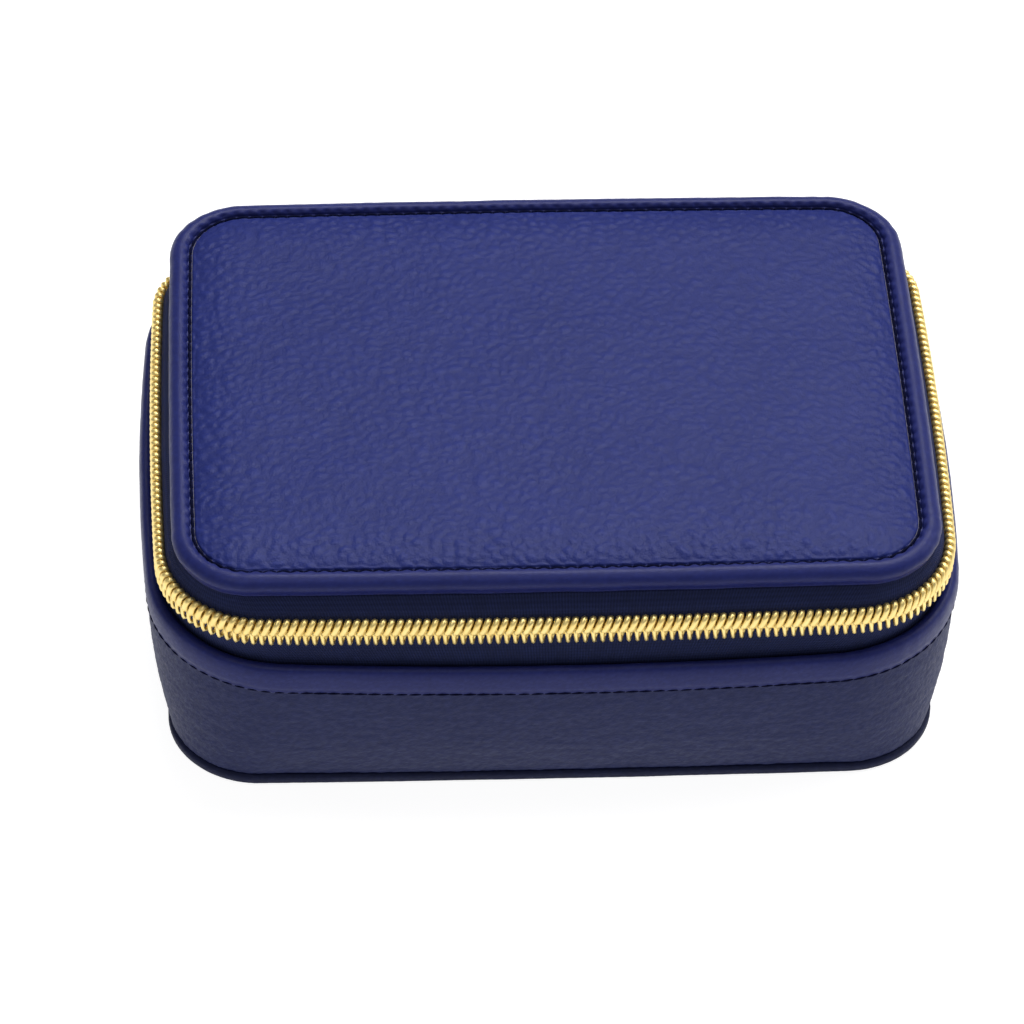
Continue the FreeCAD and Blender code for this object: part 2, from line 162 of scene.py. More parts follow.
def even_stations(shape, inset, first, last, step):
    """Stations from first to last, evenly spaced about a step apart, and the length at each."""
    grid = np.linspace(first, last, MEASURED)
    points = loop(shape, inset, grid)[0][0]
    length = np.concatenate([[0], np.cumsum(np.hypot(*np.diff(points, axis=0).T))])
    count = max(2, int(round(length[-1] / step)))
    wanted = np.linspace(0, length[-1], count + 1)
    return np.interp(wanted, length, grid), wanted


def all_round(shape, step):
    """Evenly spaced stations once round a loop, and the length along it at each."""
    station, run = even_stations(shape, 0, 0, 8, step)
    return station[:-1], run[:-1]


def mixed(shape_a, shape_b, share):
    """Loop sizes part of the way from one loop to another, one for each share."""
    share = np.asarray(share, float)
    return [a + (b - a) * share for a, b in zip(shape_a, shape_b)]


print("lid loop", np.round(np.array(LID) / MM, 2), "rim loop", np.round(np.array(RIM) / MM, 2))

# %% [markdown]
# ## From a grid of points to a mesh
# Every new piece is a grid: rows run across its section and columns run round the case. Blender can
# make such shapes with Curve bevels or the Screw modifier, but a grid worked out in numpy can have
# its grain pressed into it and its own UV map in real lengths. `piece_from_grid` closes the grid
# where it is asked to, and puts a flat cap over an open rim, so a piece has no holes.

# %% Grids and meshes
def make_piece(name, points, faces, material, body, uv=None):
    """A smooth-shaded mesh object that rides on a body of the construction."""
    mesh = bpy.data.meshes.new(name)
    mesh.from_pydata(points.reshape(-1, 3).tolist(), [], faces)
    mesh.polygons.foreach_set("use_smooth", np.ones(len(mesh.polygons), bool))
    if uv is not None:
        layer = mesh.uv_layers.new(name="UVMap")
        corner_of = np.zeros(len(mesh.loops), int)
        mesh.loops.foreach_get("vertex_index", corner_of)
        layer.data.foreach_set("uv", uv.reshape(-1, 2)[corner_of].ravel())
    mesh.materials.append(material)
    mesh.update()
    solid = bmesh.new()
    solid.from_mesh(mesh)
    if solid.calc_volume(signed=True) < 0:
        mesh.flip_normals()
    solid.free()
    piece = bpy.data.objects.new(name, mesh)
    bpy.context.scene.collection.objects.link(piece)
    if body:
        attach(piece, body)
    return piece


def grid_faces(rows, columns, close_rows=False, close_columns=False):
    """Quads between neighbouring points of a grid, facing out when rows climb an outer wall."""
    index = np.arange(rows * columns).reshape(rows, columns)
    if close_rows:
        index = np.vstack([index, index[:1]])
    if close_columns:
        index = np.hstack([index, index[:, :1]])
    corners = [index[:-1, :-1], index[:-1, 1:], index[1:, 1:], index[1:, :-1]]
    return np.stack(corners, -1).reshape(-1, 4).tolist()


def piece_from_grid(name, grid, material, body, close_rows=False, close_columns=False,
                    cap_rows=False, cap_ends=False, uv=None):
    """Mesh of a grid, with flat caps over its first and last row or column where asked."""
    rows, columns = grid.shape[:2]
    faces = grid_faces(rows, columns, close_rows, close_columns)
    index = np.arange(rows * columns).reshape(rows, columns)
    if cap_rows:
        faces += [index[0][::-1].tolist(), index[-1].tolist()]
    if cap_ends:
        faces += [index[:, 0].tolist(), index[:, -1][::-1].tolist()]
    return make_piece(name, grid, faces, material, body, uv)


def swept(shape, inset, z, station):
    """Grid of a section carried round a loop. Returns the points and the outward directions."""
    flat, out = loop(shape, inset, station)
    z = np.broadcast_to(np.asarray(z, float)[:, None], flat.shape[:2])
    return np.dstack([flat, z]), np.dstack([out, np.zeros_like(z)])


def through(points, parts=6):
    """Smooth line through the (inset, height) points of a section, given in millimetres.

    Each span is the cubic whose slope at a point is half the step from the point before it to
    the point after it.
    """
    p = np.array(points, float) * MM
    ends = np.vstack([2 * p[0] - p[1], p, 2 * p[-1] - p[-2]])
    a, b, c, d = (ends[k:len(ends) - 3 + k, None] for k in range(4))
    t = np.linspace(0, 1, parts, endpoint=False)[:, None]
    curve = b + 0.5 * t * (c - a) + t**2 * (a - 2.5 * b + 2 * c - 0.5 * d)
    curve = curve + t**3 * (1.5 * (b - c) + 0.5 * (d - a))
    return np.vstack([curve.reshape(-1, 2), p[-1:]])


def raised(grid, height):
    """Grid with each point moved along its normal, the cross product of its two grid steps.

    The grid closes round the case, so its last column's neighbour is its first.
    """
    across = np.roll(grid, -1, axis=1) - np.roll(grid, 1, axis=1)
    normal = np.cross(across, np.gradient(grid, axis=0))
    normal /= np.maximum(np.linalg.norm(normal, axis=-1, keepdims=True), TINY)
    return grid + normal * height[..., None]


# %% [markdown]
# ## Grain, worked out as heights
# Leather with a pebble grain is a skin of small cushions with creases between them. A Voronoi node
# gives that look in a material, but only as shading. Here the same pattern is worked out in numpy,
# so the leather's surface really rises and falls, and the pattern is kept as an attribute that the
# material can read. Both noises below hash the whole numbers of a grid cell, so they are the same
# on every run. Each use has a salt of its own, a number that keeps two pieces from sharing a
# pattern.

# %% Noise in numpy
FAR = 9.0      # more than any distance that is compared with it
STEEP = 3.0    # how quickly a pebble rises from its crease


def hashed(cell, salt):
    """A number from 0 to 1 for each whole-number cell, from products with large primes."""
    x, y, z = (cell[..., k].astype(np.int64) for k in range(3))
    h = (x * 73856093 ^ y * 19349663 ^ z * 83492791 ^ salt * 2654435761) & 0xFFFFFFFF
    for _ in range(2):
        h = ((h ^ (h >> 16)) * 0x45D9F3B) & 0xFFFFFFFF
    return ((h ^ (h >> 16)) & 0xFFFFFF) / 0xFFFFFF


def soft_noise(points, size, salt=0):
    """Smooth noise from -1 to 1: the eight corners of each cell, blended by a smooth step."""
    scaled = points / size
    cell = np.floor(scaled)
    t = eased(scaled - cell)
    total = 0
    for corner in range(8):
        step = np.array([corner & 1, corner >> 1 & 1, corner >> 2 & 1])
        weight = np.prod(np.where(step == 1, t, 1 - t), axis=-1)
        total = total + weight * hashed(cell + step, salt)
    return 2 * total - 1


def pebbles(points, size, salt=0):
    """Pebble grain: 0 in a crease and 1 on top of a pebble.

    Each cell holds one seed. A crease is where the nearest two seeds are equally far, so the
    height is 1 - exp(-STEEP (second distance - first distance)). The seeds of a cell and its 26
    neighbours are tried in turn.
    """
    scaled = points / size
    cell = np.floor(scaled)
    near = np.full(points.shape[:-1], FAR)
    next_near = near.copy()
    for number in range(27):
        step = np.array([number % 3, number // 3 % 3, number // 9]) - 1
        other = cell + step
        seed = other + np.stack([hashed(other, salt + k) for k in (1, 2, 3)], -1)
        distance = np.linalg.norm(scaled - seed, axis=-1)
        next_near = np.minimum(next_near, np.maximum(near, distance))
        near = np.minimum(near, distance)
    return 1 - np.exp(-STEEP * (next_near - near))


def keep_grain(piece, values):
    """Stores the grain's height on the mesh for the material to read."""
    data = piece.data.attributes.new("grain", "FLOAT", "POINT").data
    full = np.ones(len(piece.data.vertices))
    full[: values.size] = values.ravel()
    data.foreach_set("value", full)

# %% [markdown]
# ## Finishes
# Two effects are shared by several finishes, so each is a node group: built once, and placed in
# every material that needs it with its own numbers. A group can hold a whole shader, but then an
# exporter can't read it, so these give out only colours, values and normals, and the Principled
# shader stays in the material. Values that are the same all over a piece are typed straight into
# the shader.

# %% Small helpers for node trees
def from_display(red, green, blue):
    """Colour as it looks on a display, 0 to 255, as Blender's linear colour."""
    parts = np.array([red, green, blue]) / 255
    linear = np.where(parts <= 0.04045, parts / 12.92, ((parts + 0.055) / 1.055) ** 2.4)
    return (*[float(part) for part in linear], 1.0)


def add(tree, kind, inputs=None, **settings):
    """A node with its settings, and inputs that are values or other nodes' outputs."""
    node = tree.nodes.new(kind)
    for name, value in settings.items():
        setattr(node, name, value)
    for name, value in (inputs or {}).items():
        if isinstance(value, bpy.types.NodeSocket):
            tree.links.new(value, node.inputs[name])
        else:
            node.inputs[name].default_value = value
    return node


def noise(tree, place, scale, detail, distortion=0.0):
    """Soft noise over the surface."""
    values = {"Vector": place, "Scale": scale, "Detail": detail, "Distortion": distortion}
    return add(tree, "ShaderNodeTexNoise", values).outputs["Fac"]


def ranged(tree, value, low, high, to_low=0.0, to_high=1.0):
    """A value between low and high, stretched to lie between to_low and to_high."""
    values = {"Value": value, "From Min": low, "From Max": high,
              "To Min": to_low, "To Max": to_high}
    return add(tree, "ShaderNodeMapRange", values).outputs["Result"]


def combined(tree, operation, first, second):
    """Two values added, multiplied and so on."""
    return add(tree, "ShaderNodeMath", {0: first, 1: second}, operation=operation).outputs[0]


def multiplied(tree, vector, factor):
    """A vector or a colour times a number."""
    values = {0: vector, "Scale": factor}
    return add(tree, "ShaderNodeVectorMath", values, operation="SCALE").outputs[0]


def blended(tree, share, first, second):
    """A colour between two colours."""
    values = {"Factor": share, "A": first, "B": second}
    return add(tree, "ShaderNodeMix", values, data_type="RGBA").outputs["Result"]


def bumped(tree, strength, distance, height):
    """A normal that makes a height look like relief."""
    values = {"Strength": strength, "Distance": distance, "Height": height}
    return add(tree, "ShaderNodeBump", values).outputs["Normal"]


def new_group(name, inputs):
    """An empty node group with the given inputs, and colour, roughness and normal going out."""
    tree = bpy.data.node_groups.new(name, "ShaderNodeTree")
    for label, kind, value in inputs:
        socket = tree.interface.new_socket(label, in_out="INPUT", socket_type=kind)
        socket.default_value = value
    for label, kind in (("Color", "NodeSocketColor"), ("Roughness", "NodeSocketFloat"),
                        ("Normal", "NodeSocketVector")):
        tree.interface.new_socket(label, in_out="OUTPUT", socket_type=kind)
    return tree, tree.nodes.new("NodeGroupInput").outputs, tree.nodes.new("NodeGroupOutput").inputs


def wire_out(tree, out, color, roughness, normal):
    """Joins the three results of a group to its output."""
    for name, socket in (("Color", color), ("Roughness", roughness), ("Normal", normal)):
        tree.links.new(socket, out[name])


# %% [markdown]
# ### Skin of the leather
# The real leather is dyed through and lightly coated, and the tops of the pebbles are rubbed a
# little smoother. The group reads the grain height that was stored with the mesh and mixes two
# colours by
# it: a lighter one on the pebbles' tops and a darker one in the creases, which is painted shade. It
# adds pores that are too fine for the mesh as a bump. Blotches a few centimetres across keep the
# colour from looking printed.

# %% Leather group
def leather_group():
    """Colour, darker in the creases as painted shade, roughness and fine normal of dyed leather,
    from its grain height.
    """
    tree, given, out = new_group("leather_skin", [
        ("Top", "NodeSocketColor", (0.1, 0.1, 0.3, 1)),
        ("Crease Shade", "NodeSocketColor", (0.02, 0.02, 0.1, 1)),
        ("Pore Scale", "NodeSocketFloat", 1500.0),
        ("Pore Depth", "NodeSocketFloat", 0.3),
        ("Shine Low", "NodeSocketFloat", 0.38),
        ("Shine High", "NodeSocketFloat", 0.6),
    ])
    place = add(tree, "ShaderNodeTexCoord").outputs["Object"]
    grain = add(tree, "ShaderNodeAttribute", attribute_name="grain").outputs["Fac"]
    depth = ranged(tree, grain, 0.15, 0.9)
    speck = noise(tree, place, 900.0, 2.0)
    tone = ranged(tree, noise(tree, place, 38.0, 3.0), 0.3, 0.7, 0.96, 1.04)
    fleck = ranged(tree, speck, 0.3, 0.7, 0.94, 1.06)
    # The grain height mixes the lighter top colour with the darker crease colour: painted shade in
    # the creases.
    color_with_crease_shade = blended(tree, depth, given["Crease Shade"], given["Top"])
    color = multiplied(tree, color_with_crease_shade, combined(tree, "MULTIPLY", tone, fleck))
    shine = ranged(tree, depth, 0.0, 1.0, given["Shine High"], given["Shine Low"])
    rough = combined(tree, "MULTIPLY", shine, fleck)
    pores = add(tree, "ShaderNodeTexVoronoi", {"Vector": place, "Scale": given["Pore Scale"]},
                feature="DISTANCE_TO_EDGE").outputs["Distance"]
    skin = combined(tree, "ADD", speck, ranged(tree, pores, 0.0, 0.25))
    wire_out(tree, out, color, rough, bumped(tree, given["Pore Depth"], 0.06 * MM, skin))
    return tree


# %% [markdown]
# ### Woven tape and napped lining
# Zip tape is a warp-faced twill: fine ribs across the tape with threads over and under along it.
# The pieces carry UV maps in real lengths, so two wave patterns at right angles, one per direction
# of thread, give the weave at its true size wherever the tape bends. Where the threads dip the
# colour is darker: painted shade between the threads. The lining has no threads to see, only a
# short nap that lies this way and that: soft noise of two sizes in colour and bump.

# %% Cloth groups
BAND_PER_UNIT = 0.314    # the scale at which a wave texture has one band per unit


def weave_group():
    """Over-and-under threads on a UV map in metres, darker where they dip as painted shade."""
    tree, given, out = new_group("woven_tape", [
        ("Thread", "NodeSocketColor", (0.01, 0.02, 0.06, 1)),
        ("Gap Shade", "NodeSocketColor", (0.003, 0.004, 0.012, 1)),
        ("Threads per metre", "NodeSocketFloat", 1900.0),
    ])
    uv = add(tree, "ShaderNodeUVMap", uv_map="UVMap").outputs["UV"]
    threads = multiplied(tree, uv, given["Threads per metre"])
    bands = {"Vector": threads, "Scale": BAND_PER_UNIT, "Distortion": 0.15}
    over, under = (add(tree, "ShaderNodeTexWave", bands, bands_direction=way).outputs["Fac"]
                   for way in ("X", "Y"))
    height = combined(tree, "ADD", combined(tree, "MULTIPLY", over, 0.65),
                      combined(tree, "MULTIPLY", under, 0.35))
    place = add(tree, "ShaderNodeTexCoord").outputs["Object"]
    lint = noise(tree, place, 420.0, 3.0)
    # Where the threads dip the colour goes towards the darker gap colour, painted shade between the
    # threads, broken up at random by the lint noise.
    shade_and_wear = combined(tree, "MULTIPLY", height, lint)
    color = blended(tree, shade_and_wear, given["Gap Shade"], given["Thread"])
    rough = ranged(tree, lint, 0.0, 1.0, 0.7, 0.95)
    wire_out(tree, out, color, rough, bumped(tree, 0.8, 0.12 * MM, height))
    return tree


def nap_group():
    """Short nap of a suede-like cloth, brushed in patches."""
    tree, given, out = new_group("brushed_nap", [
        ("Light", "NodeSocketColor", (0.4, 0.4, 0.45, 1)),
        ("Dark", "NodeSocketColor", (0.2, 0.2, 0.24, 1)),
    ])
    place = add(tree, "ShaderNodeTexCoord").outputs["Object"]
    patch = noise(tree, place, 70.0, 4.0, 0.6)
    fibre = noise(tree, place, 2600.0, 2.0)
    lay = ranged(tree, combined(tree, "ADD", patch, fibre), 0.7, 1.3)
    color = blended(tree, lay, given["Dark"], given["Light"])
    rough = ranged(tree, patch, 0.0, 1.0, 0.8, 1.0)
    wire_out(tree, out, color, rough, bumped(tree, 0.5, 0.08 * MM, fibre))
    return tree


LEATHER_SKIN = leather_group()
WOVEN_TAPE = weave_group()
BRUSHED_NAP = nap_group()

# %% [markdown]
# ### The materials themselves
# `finish_with` makes a material from a group: a Principled shader with the group's colour,
# roughness and normal wired in, and everything that doesn't vary typed into its sockets. All the
# leathers and the thread are one recipe with other numbers. Metal and mirror need no group.

# %% Recipes for materials
def new_material(name, values):
    """A material, its node tree, and its Principled shader with the values typed in."""
    material = bpy.data.materials.new(name)
    material.use_nodes = True
    shader = material.node_tree.nodes["Principled BSDF"]
    for label, value in values.items():
        shader.inputs[label].default_value = value
    return material, material.node_tree, shader


def finish_with(name, group, group_values, shader_values):
    """Material whose Principled shader takes its pattern from a group."""
    material, tree, shader = new_material(name, shader_values)
    pattern = add(tree, "ShaderNodeGroup", group_values, node_tree=group)
    for label, socket in (("Color", "Base Color"), ("Roughness", "Roughness"), ("Normal", "Normal")):
        tree.links.new(pattern.outputs[label], shader.inputs[socket])
    return material


def leather(name, top, crease, pores, rough, gloss):
    """Leather, from two colours, the pores' scale and depth, and two roughnesses.

    The second colour is the darker one in the creases, painted shade. The first roughness is that of
    the pebbles' tops, and the second that of the creases.
    """
    return finish_with(name, LEATHER_SKIN, {
        "Top": from_display(*top), "Crease Shade": from_display(*crease), "Pore Scale": pores[0],
        "Pore Depth": pores[1], "Shine Low": rough[0], "Shine High": rough[1]},
        {"Specular IOR Level": gloss})


def suede_like(name, light, dark, shader_values):
    """Napped cloth or pulpy board, from two colours."""
    return finish_with(name, BRUSHED_NAP, {
        "Light": from_display(*light), "Dark": from_display(*dark)}, shader_values)


def metal(name, color, worn_color, rough, scale):
    """Plated metal: small changes of colour and gloss, as from handling."""
    material, tree, shader = new_material(name, {"Metallic": 1.0})
    place = add(tree, "ShaderNodeTexCoord").outputs["Object"]
    haze = noise(tree, place, scale, 4.0)
    tint = blended(tree, haze, from_display(*color), from_display(*worn_color))
    gloss = ranged(tree, haze, 0.3, 0.7, *rough)
    tree.links.new(tint, shader.inputs["Base Color"])
    tree.links.new(gloss, shader.inputs["Roughness"])
    return material


# %% Materials
# Each leather's second colour is darker, for the creases: painted shade.
pebble_leather = leather("pebble_leather", (33, 43, 107), (29, 38, 97),
                         (1500.0, 0.35), (0.42, 0.48), 0.13)
smooth_leather = leather("smooth_leather", (32, 40, 100), (28, 34, 90),
                         (2300.0, 0.14), (0.36, 0.46), 0.17)
wall_leather = leather("wall_leather", (27, 36, 84), (22, 30, 73),
                       (1700.0, 0.35), (0.44, 0.6), 0.2)
foot_leather = leather("foot_leather", (20, 27, 64), (16, 22, 54),
                       (1900.0, 0.3), (0.5, 0.65), 0.2)
thread_navy = leather("sewing_thread", (11, 14, 40), (7, 8, 25),
                      (3500.0, 0.5), (0.85, 0.95), 0.04)
# The tape's second colour is the painted shade between its threads.
tape_cloth = finish_with("zip_tape_cloth", WOVEN_TAPE, {
    "Thread": from_display(46, 56, 104), "Gap Shade": from_display(24, 31, 64)},
    {"Specular IOR Level": 0.2})
suede = suede_like("suede_lining", (146, 143, 158), (104, 102, 120),
                   {"Sheen Weight": 0.35, "Sheen Roughness": 0.4})
gold_coil = metal("gold_coil", (252, 232, 164), (248, 218, 136), (0.40, 0.52), 300.0)
gold_metal = metal("gold_metal", (248, 218, 140), (236, 196, 104), (0.1, 0.24), 160.0)
mirror_glass = metal("mirror_glass", (240, 242, 244), (232, 236, 238), (0.01, 0.03), 30.0)
grey_board = suede_like("grey_board", (158, 152, 142), (128, 122, 112), {})
print("materials:", len(bpy.data.materials))

# %% [markdown]
# ## Camera, floor and light
# The case is seen from above and a little from its right, through a long lens, which keeps its
# sides nearly parallel. The camera is turned about its own axis by a degree or two, as a hand-held
# one is. The floor is a large pale sheet that glows a little, as a light table does. The rest of
# the light is a white room with three large soft boxes: small lamps would put hard sparkles on the
# leather, and soft boxes give the long quiet highlights that run along the rolled edges.

# %% Camera
ELEVATION, YAW, ROLL = (math.radians(angle) for angle in (44.48, 3.90, 1.68))
DISTANCE, TO_LEFT, UPWARDS = 1.0281, 5.65 * MM, 11.62 * MM
turn = Matrix.Rotation(-YAW, 3, "Z")
right = turn @ Vector((1, 0, 0))
ahead = turn @ Vector((0, math.cos(ELEVATION), -math.sin(ELEVATION)))
up = turn @ Vector((0, math.sin(ELEVATION), math.cos(ELEVATION)))
place = -DISTANCE * ahead - TO_LEFT * right + UPWARDS * up
side_axis = right * math.cos(ROLL) + up * math.sin(ROLL)
top_axis = up * math.cos(ROLL) - right * math.sin(ROLL)
facing = Matrix((side_axis, top_axis, -ahead)).transposed().to_4x4()
camera_data = bpy.data.cameras.new("camera")
camera_data.lens = 193.0
camera_data.sensor_width = 36.0
camera = bpy.data.objects.new("camera", camera_data)
camera.matrix_world = Matrix.Translation(place) @ facing
bpy.context.scene.collection.objects.link(camera)
bpy.context.scene.camera = camera
bpy.context.scene.view_settings.view_transform = "Standard"
print("camera at", [round(value, 3) for value in camera.location])

# %% Floor and room
floor_white, _, _ = new_material("floor_white", {
    "Base Color": (0.36, 0.36, 0.36, 1), "Roughness": 0.9, "Specular IOR Level": 0.1,
    "Emission Color": (1, 1, 1, 1), "Emission Strength": 0.88})
floor_mesh = bpy.data.meshes.new("floor")
floor_mesh.from_pydata([(-5, -5, 0), (5, -5, 0), (5, 5, 0), (-5, 5, 0)], [], [(0, 1, 2, 3)])
floor_mesh.materials.append(floor_white)
floor = bpy.data.objects.new("floor", floor_mesh)
bpy.context.scene.collection.objects.link(floor)

world = bpy.data.worlds.new("room")
world.use_nodes = True
world.node_tree.nodes["Background"].inputs["Color"].default_value = (1, 1, 1, 1)
world.node_tree.nodes["Background"].inputs["Strength"].default_value = 0.25
bpy.context.scene.world = world
print("floor and room:", floor.name, world.name)

# %% Soft boxes
AIM = Vector((0, 0, 0.03))


def soft_box(name, position, size, watts):
    """A large square lamp that faces the case."""
    lamp = bpy.data.lights.new(name, "AREA")
    lamp.size = size
    lamp.energy = watts
    holder = bpy.data.objects.new(name, lamp)
    facing_case = (Vector(position) - AIM).to_track_quat("Z", "Y").to_matrix().to_4x4()
    holder.matrix_world = Matrix.Translation(position) @ facing_case
    bpy.context.scene.collection.objects.link(holder)


soft_box("box_above", (0.28, 0.60, 1.3), 1.0, 22.5)
soft_box("box_front", (-0.35, -0.7, 1.5), 0.6, 3.4)
soft_box("box_right", (1.3, 0.3, 0.9), 0.7, 5.0)
print("lights:", len(bpy.data.lights))

# %% [markdown]
# ## Where a point lies on the lid
# The stitching pulls the leather down in a row of small dips, and the padding falls away towards
# it. Both need two numbers for any point: how far inside the outline it is, and how far along the
# outline. For an arc, the first is its radius less the distance to its centre, and the second is
# its radius times the angle from its start.

# %% Depth inside a loop, and the run along it
STITCH = 2.4 * MM
SLACK = 1e-6    # radians, so that a point between two sectors belongs to one of them


def stitch_pitch(length):
    """The stitch nearest to STITCH that divides a seam evenly."""
    return length / round(length / STITCH)


def depth_and_run(shape, inset, x, y):
    """Distance in from the outline, and stitches along the loop at the given inset.

    Only an arc whose sector holds the point counts, and the nearest of those wins.
    """
    centre_x, centre_y, radius, start, sweep = arcs_of(shape, 0.0)
    depth = np.full(x.shape, FAR)
    run = np.zeros(x.shape)
    length = 0.0
    for k in range(8):
        angle = (np.arctan2(y - centre_y[k], x - centre_x[k]) - start[k]) % (2 * math.pi)
        own = radius[k] - np.hypot(x - centre_x[k], y - centre_y[k])
        better = (angle <= sweep[k] + SLACK) & (own < depth)
        depth = np.where(better, own, depth)
        run = np.where(better, length + (radius[k] - inset) * angle, run)
        length += (radius[k] - inset) * sweep[k]
    return depth, run / stitch_pitch(length)


def loop_length(shape):
    """Length round a loop, for which any step does."""
    return even_stations(shape, 0, 0, 8, 1.0)[1][-1]


print("lid outline, mm:", round(loop_length(LID) / MM, 1))

# %% [markdown]
# ## Filling an outline with a grid
# A panel needs points all over it for its grain. Filling a round-cornered outline with a Grid Fill
# or a remesh leaves uneven triangles. Here a square grid is stretched over it: a point of the
# square at (u, v) belongs to a smaller copy of the outline, b = max(|u|, |v|) times as large, and
# sits where a walk round the square's edge would be on a walk round the outline. The grid's lines
# are closer together near the edge, where the leather turns down.

# %% Filled outlines
GROWTH, MOST_STEPS = 1.25, 400    # each step to the one before it, and more steps than fit


def edge_ticks(half, fine, coarse):
    """Numbers from -1 to 1 whose steps grow from fine at the ends to coarse, by GROWTH each."""
    growing = np.minimum(fine * GROWTH ** np.arange(MOST_STEPS), coarse)
    from_edge = np.concatenate([[0], np.cumsum(growing)])
    from_edge = from_edge[from_edge < half - 0.6 * coarse]
    right_half = 1 - from_edge[::-1] / half
    return np.concatenate([-right_half[::-1], [0], right_half])


def filled(shape, inset, fine, coarse):
    """Points (rows, columns, 2) of a grid over the loop, by the walk in the words above.

    The walk along the square goes from -1 to 7, two for each side, and the square's corners go
    to the middles of the corner arcs, at the stations -0.5, 1.5, 3.5 and 5.5.
    """
    u = edge_ticks(shape[0] / 2 - inset, fine, coarse)[None, :]
    v = edge_ticks(shape[1] / 2 - inset, fine, coarse)[:, None]
    u, v = np.broadcast_arrays(u, v)
    share = np.maximum(np.maximum(np.abs(u), np.abs(v)), TINY)
    a, b = u / share, v / share
    walk = np.where(a >= 1, b, np.where(b >= 1, 2 - a, np.where(a <= -1, 4 - b, 6 + a)))
    station, length = even_stations(shape, inset, -0.5, 7.5, 0.2 * MM)
    marks = np.interp([-0.5, 1.5, 3.5, 5.5, 7.5], station, length)
    wanted = np.interp(walk, [-1, 1, 3, 5, 7], marks)
    at = np.interp(wanted, length, station) % 8
    edge = loop(shape, inset, at.ravel())[0][0].reshape(*u.shape, 2)
    return edge * np.where(share > TINY, share, 0)[..., None]


def rim_of(index):
    """Border of an index grid, anticlockwise."""
    return np.concatenate([index[0, :-1], index[:-1, -1], index[-1, :0:-1], index[:0:-1, 0]])


def plate(name, flat, top, low, material, body):
    """A closed slab: a filled grid with its own heights above a flat underside."""
    rows, columns = flat.shape[:2]
    index = np.arange(rows * columns).reshape(rows, columns)
    border = rim_of(index)
    upper = np.dstack([flat, top]).reshape(-1, 3)
    under = upper[border].copy()
    under[:, 2] = low
    below = rows * columns + np.arange(len(border))
    skirt = np.stack([below, np.roll(below, -1), np.roll(border, -1), border], -1).tolist()
    faces = grid_faces(rows, columns) + skirt + [below[::-1].tolist()]
    return make_piece(name, np.vstack([upper, under]), faces, material, body)


# %% [markdown]
# ## The lid's padded panel
# The panel is thick soft leather over a thin foam, stitched down all round. It is nearly flat, and
# in its last few millimetres it curves down into the stitched groove. A subdivided plane with a
# displacement texture could do it, but heights from a function can follow the stitches exactly.
# Low wide cushions of grain cover it in shallow arcs, and faint stretched creases lie slantwise
# in scattered patches.

# %% Tools for leather and pads
GROOVE = 3.9 * MM    # from the lid's outline in to the line of stitches


def stitch_dip(depth, run, reach, dip):
    """How far stitching pulls a surface down: a bell across the line, deepest at each hole."""
    across = np.exp(-((depth - GROOVE) / reach) ** 2)
    return dip * across * (0.45 + 0.55 * np.cos(math.pi * run) ** 6)


def leather_grain(points, size, flatten, salt):
    """Pebbles with a finer set of pebbles inside them, 0 to 1."""
    scaled = points * np.array([1.0, flatten, flatten])
    bent = scaled + 0.35 * size * np.stack([soft_noise(scaled, 2.2 * size, salt + 20 + k)
                                            for k in range(3)], -1)
    return 0.82 * pebbles(bent, size, salt) + 0.18 * pebbles(bent, 0.45 * size, salt + 9)


def rounded(depth, width):
    """A quarter round: 0 at an edge and 1 from width inwards, sqrt(1 - (1 - t)^2) between."""
    t = np.clip(depth / width, 0, 1)
    return np.sqrt(1 - (1 - t) ** 2)


def in_space(flat):
    """Flat points as points at height 0, which the noises take."""
    return np.dstack([flat, np.zeros(flat.shape[:2])])


# %% Lid panel, its padded form
PANEL_EDGE, PANEL_LOW = 4.28 * MM, 48.92 * MM
PANEL_Z, PANEL_RISE, PANEL_CROWN = 49.55 * MM, 1.0 * MM, 0.35 * MM
FALL_OVER, LIP_OVER, LIP_DROP = 8.0 * MM, 0.55 * MM, 0.42 * MM
PANEL_HALF = np.array([66, 49]) * MM

panel_flat = filled(LID, PANEL_EDGE, 0.11 * MM, 0.42 * MM)
depth, run = depth_and_run(LID, GROOVE, panel_flat[..., 0], panel_flat[..., 1])
fall = np.clip((depth - PANEL_EDGE) / FALL_OVER, 0, 1)
crown = np.prod(1 - (panel_flat / PANEL_HALF) ** 2, axis=-1)
panel_top = PANEL_Z + PANEL_RISE * (1 - (1 - fall) ** 2.6) + PANEL_CROWN * crown
panel_top += LIP_DROP * (rounded(depth - PANEL_EDGE, LIP_OVER) - 1)
print("lid panel height, mm:", round(panel_top.max() / MM, 2))

# %% Lid panel, its grain
# The rows of pebbles run in arcs: their slope in the middle, and how it grows over a span.
GRAIN_SLOPE, GRAIN_BEND, GRAIN_SPAN = 0.175, 0.325, 120 * MM
SLANT = np.array([[0.80, -0.60, 0], [0.60, 0.80, 0], [0, 0, 1]])
STRETCH = np.array([0.22, 1.0, 1.0])

spots = in_space(panel_flat)
grain_run = spots.copy()
grain_run[..., 1] += GRAIN_SLOPE * spots[..., 0] + GRAIN_BEND * spots[..., 0] ** 2 / GRAIN_SPAN
panel_grain = leather_grain(grain_run, 2.0 * MM, 1.15, 3)
creases = soft_noise(spots @ SLANT * STRETCH, 1.1 * MM, 51)
creased = np.clip(0.5 + 1.4 * soft_noise(spots, 24 * MM, 52), 0, 1)
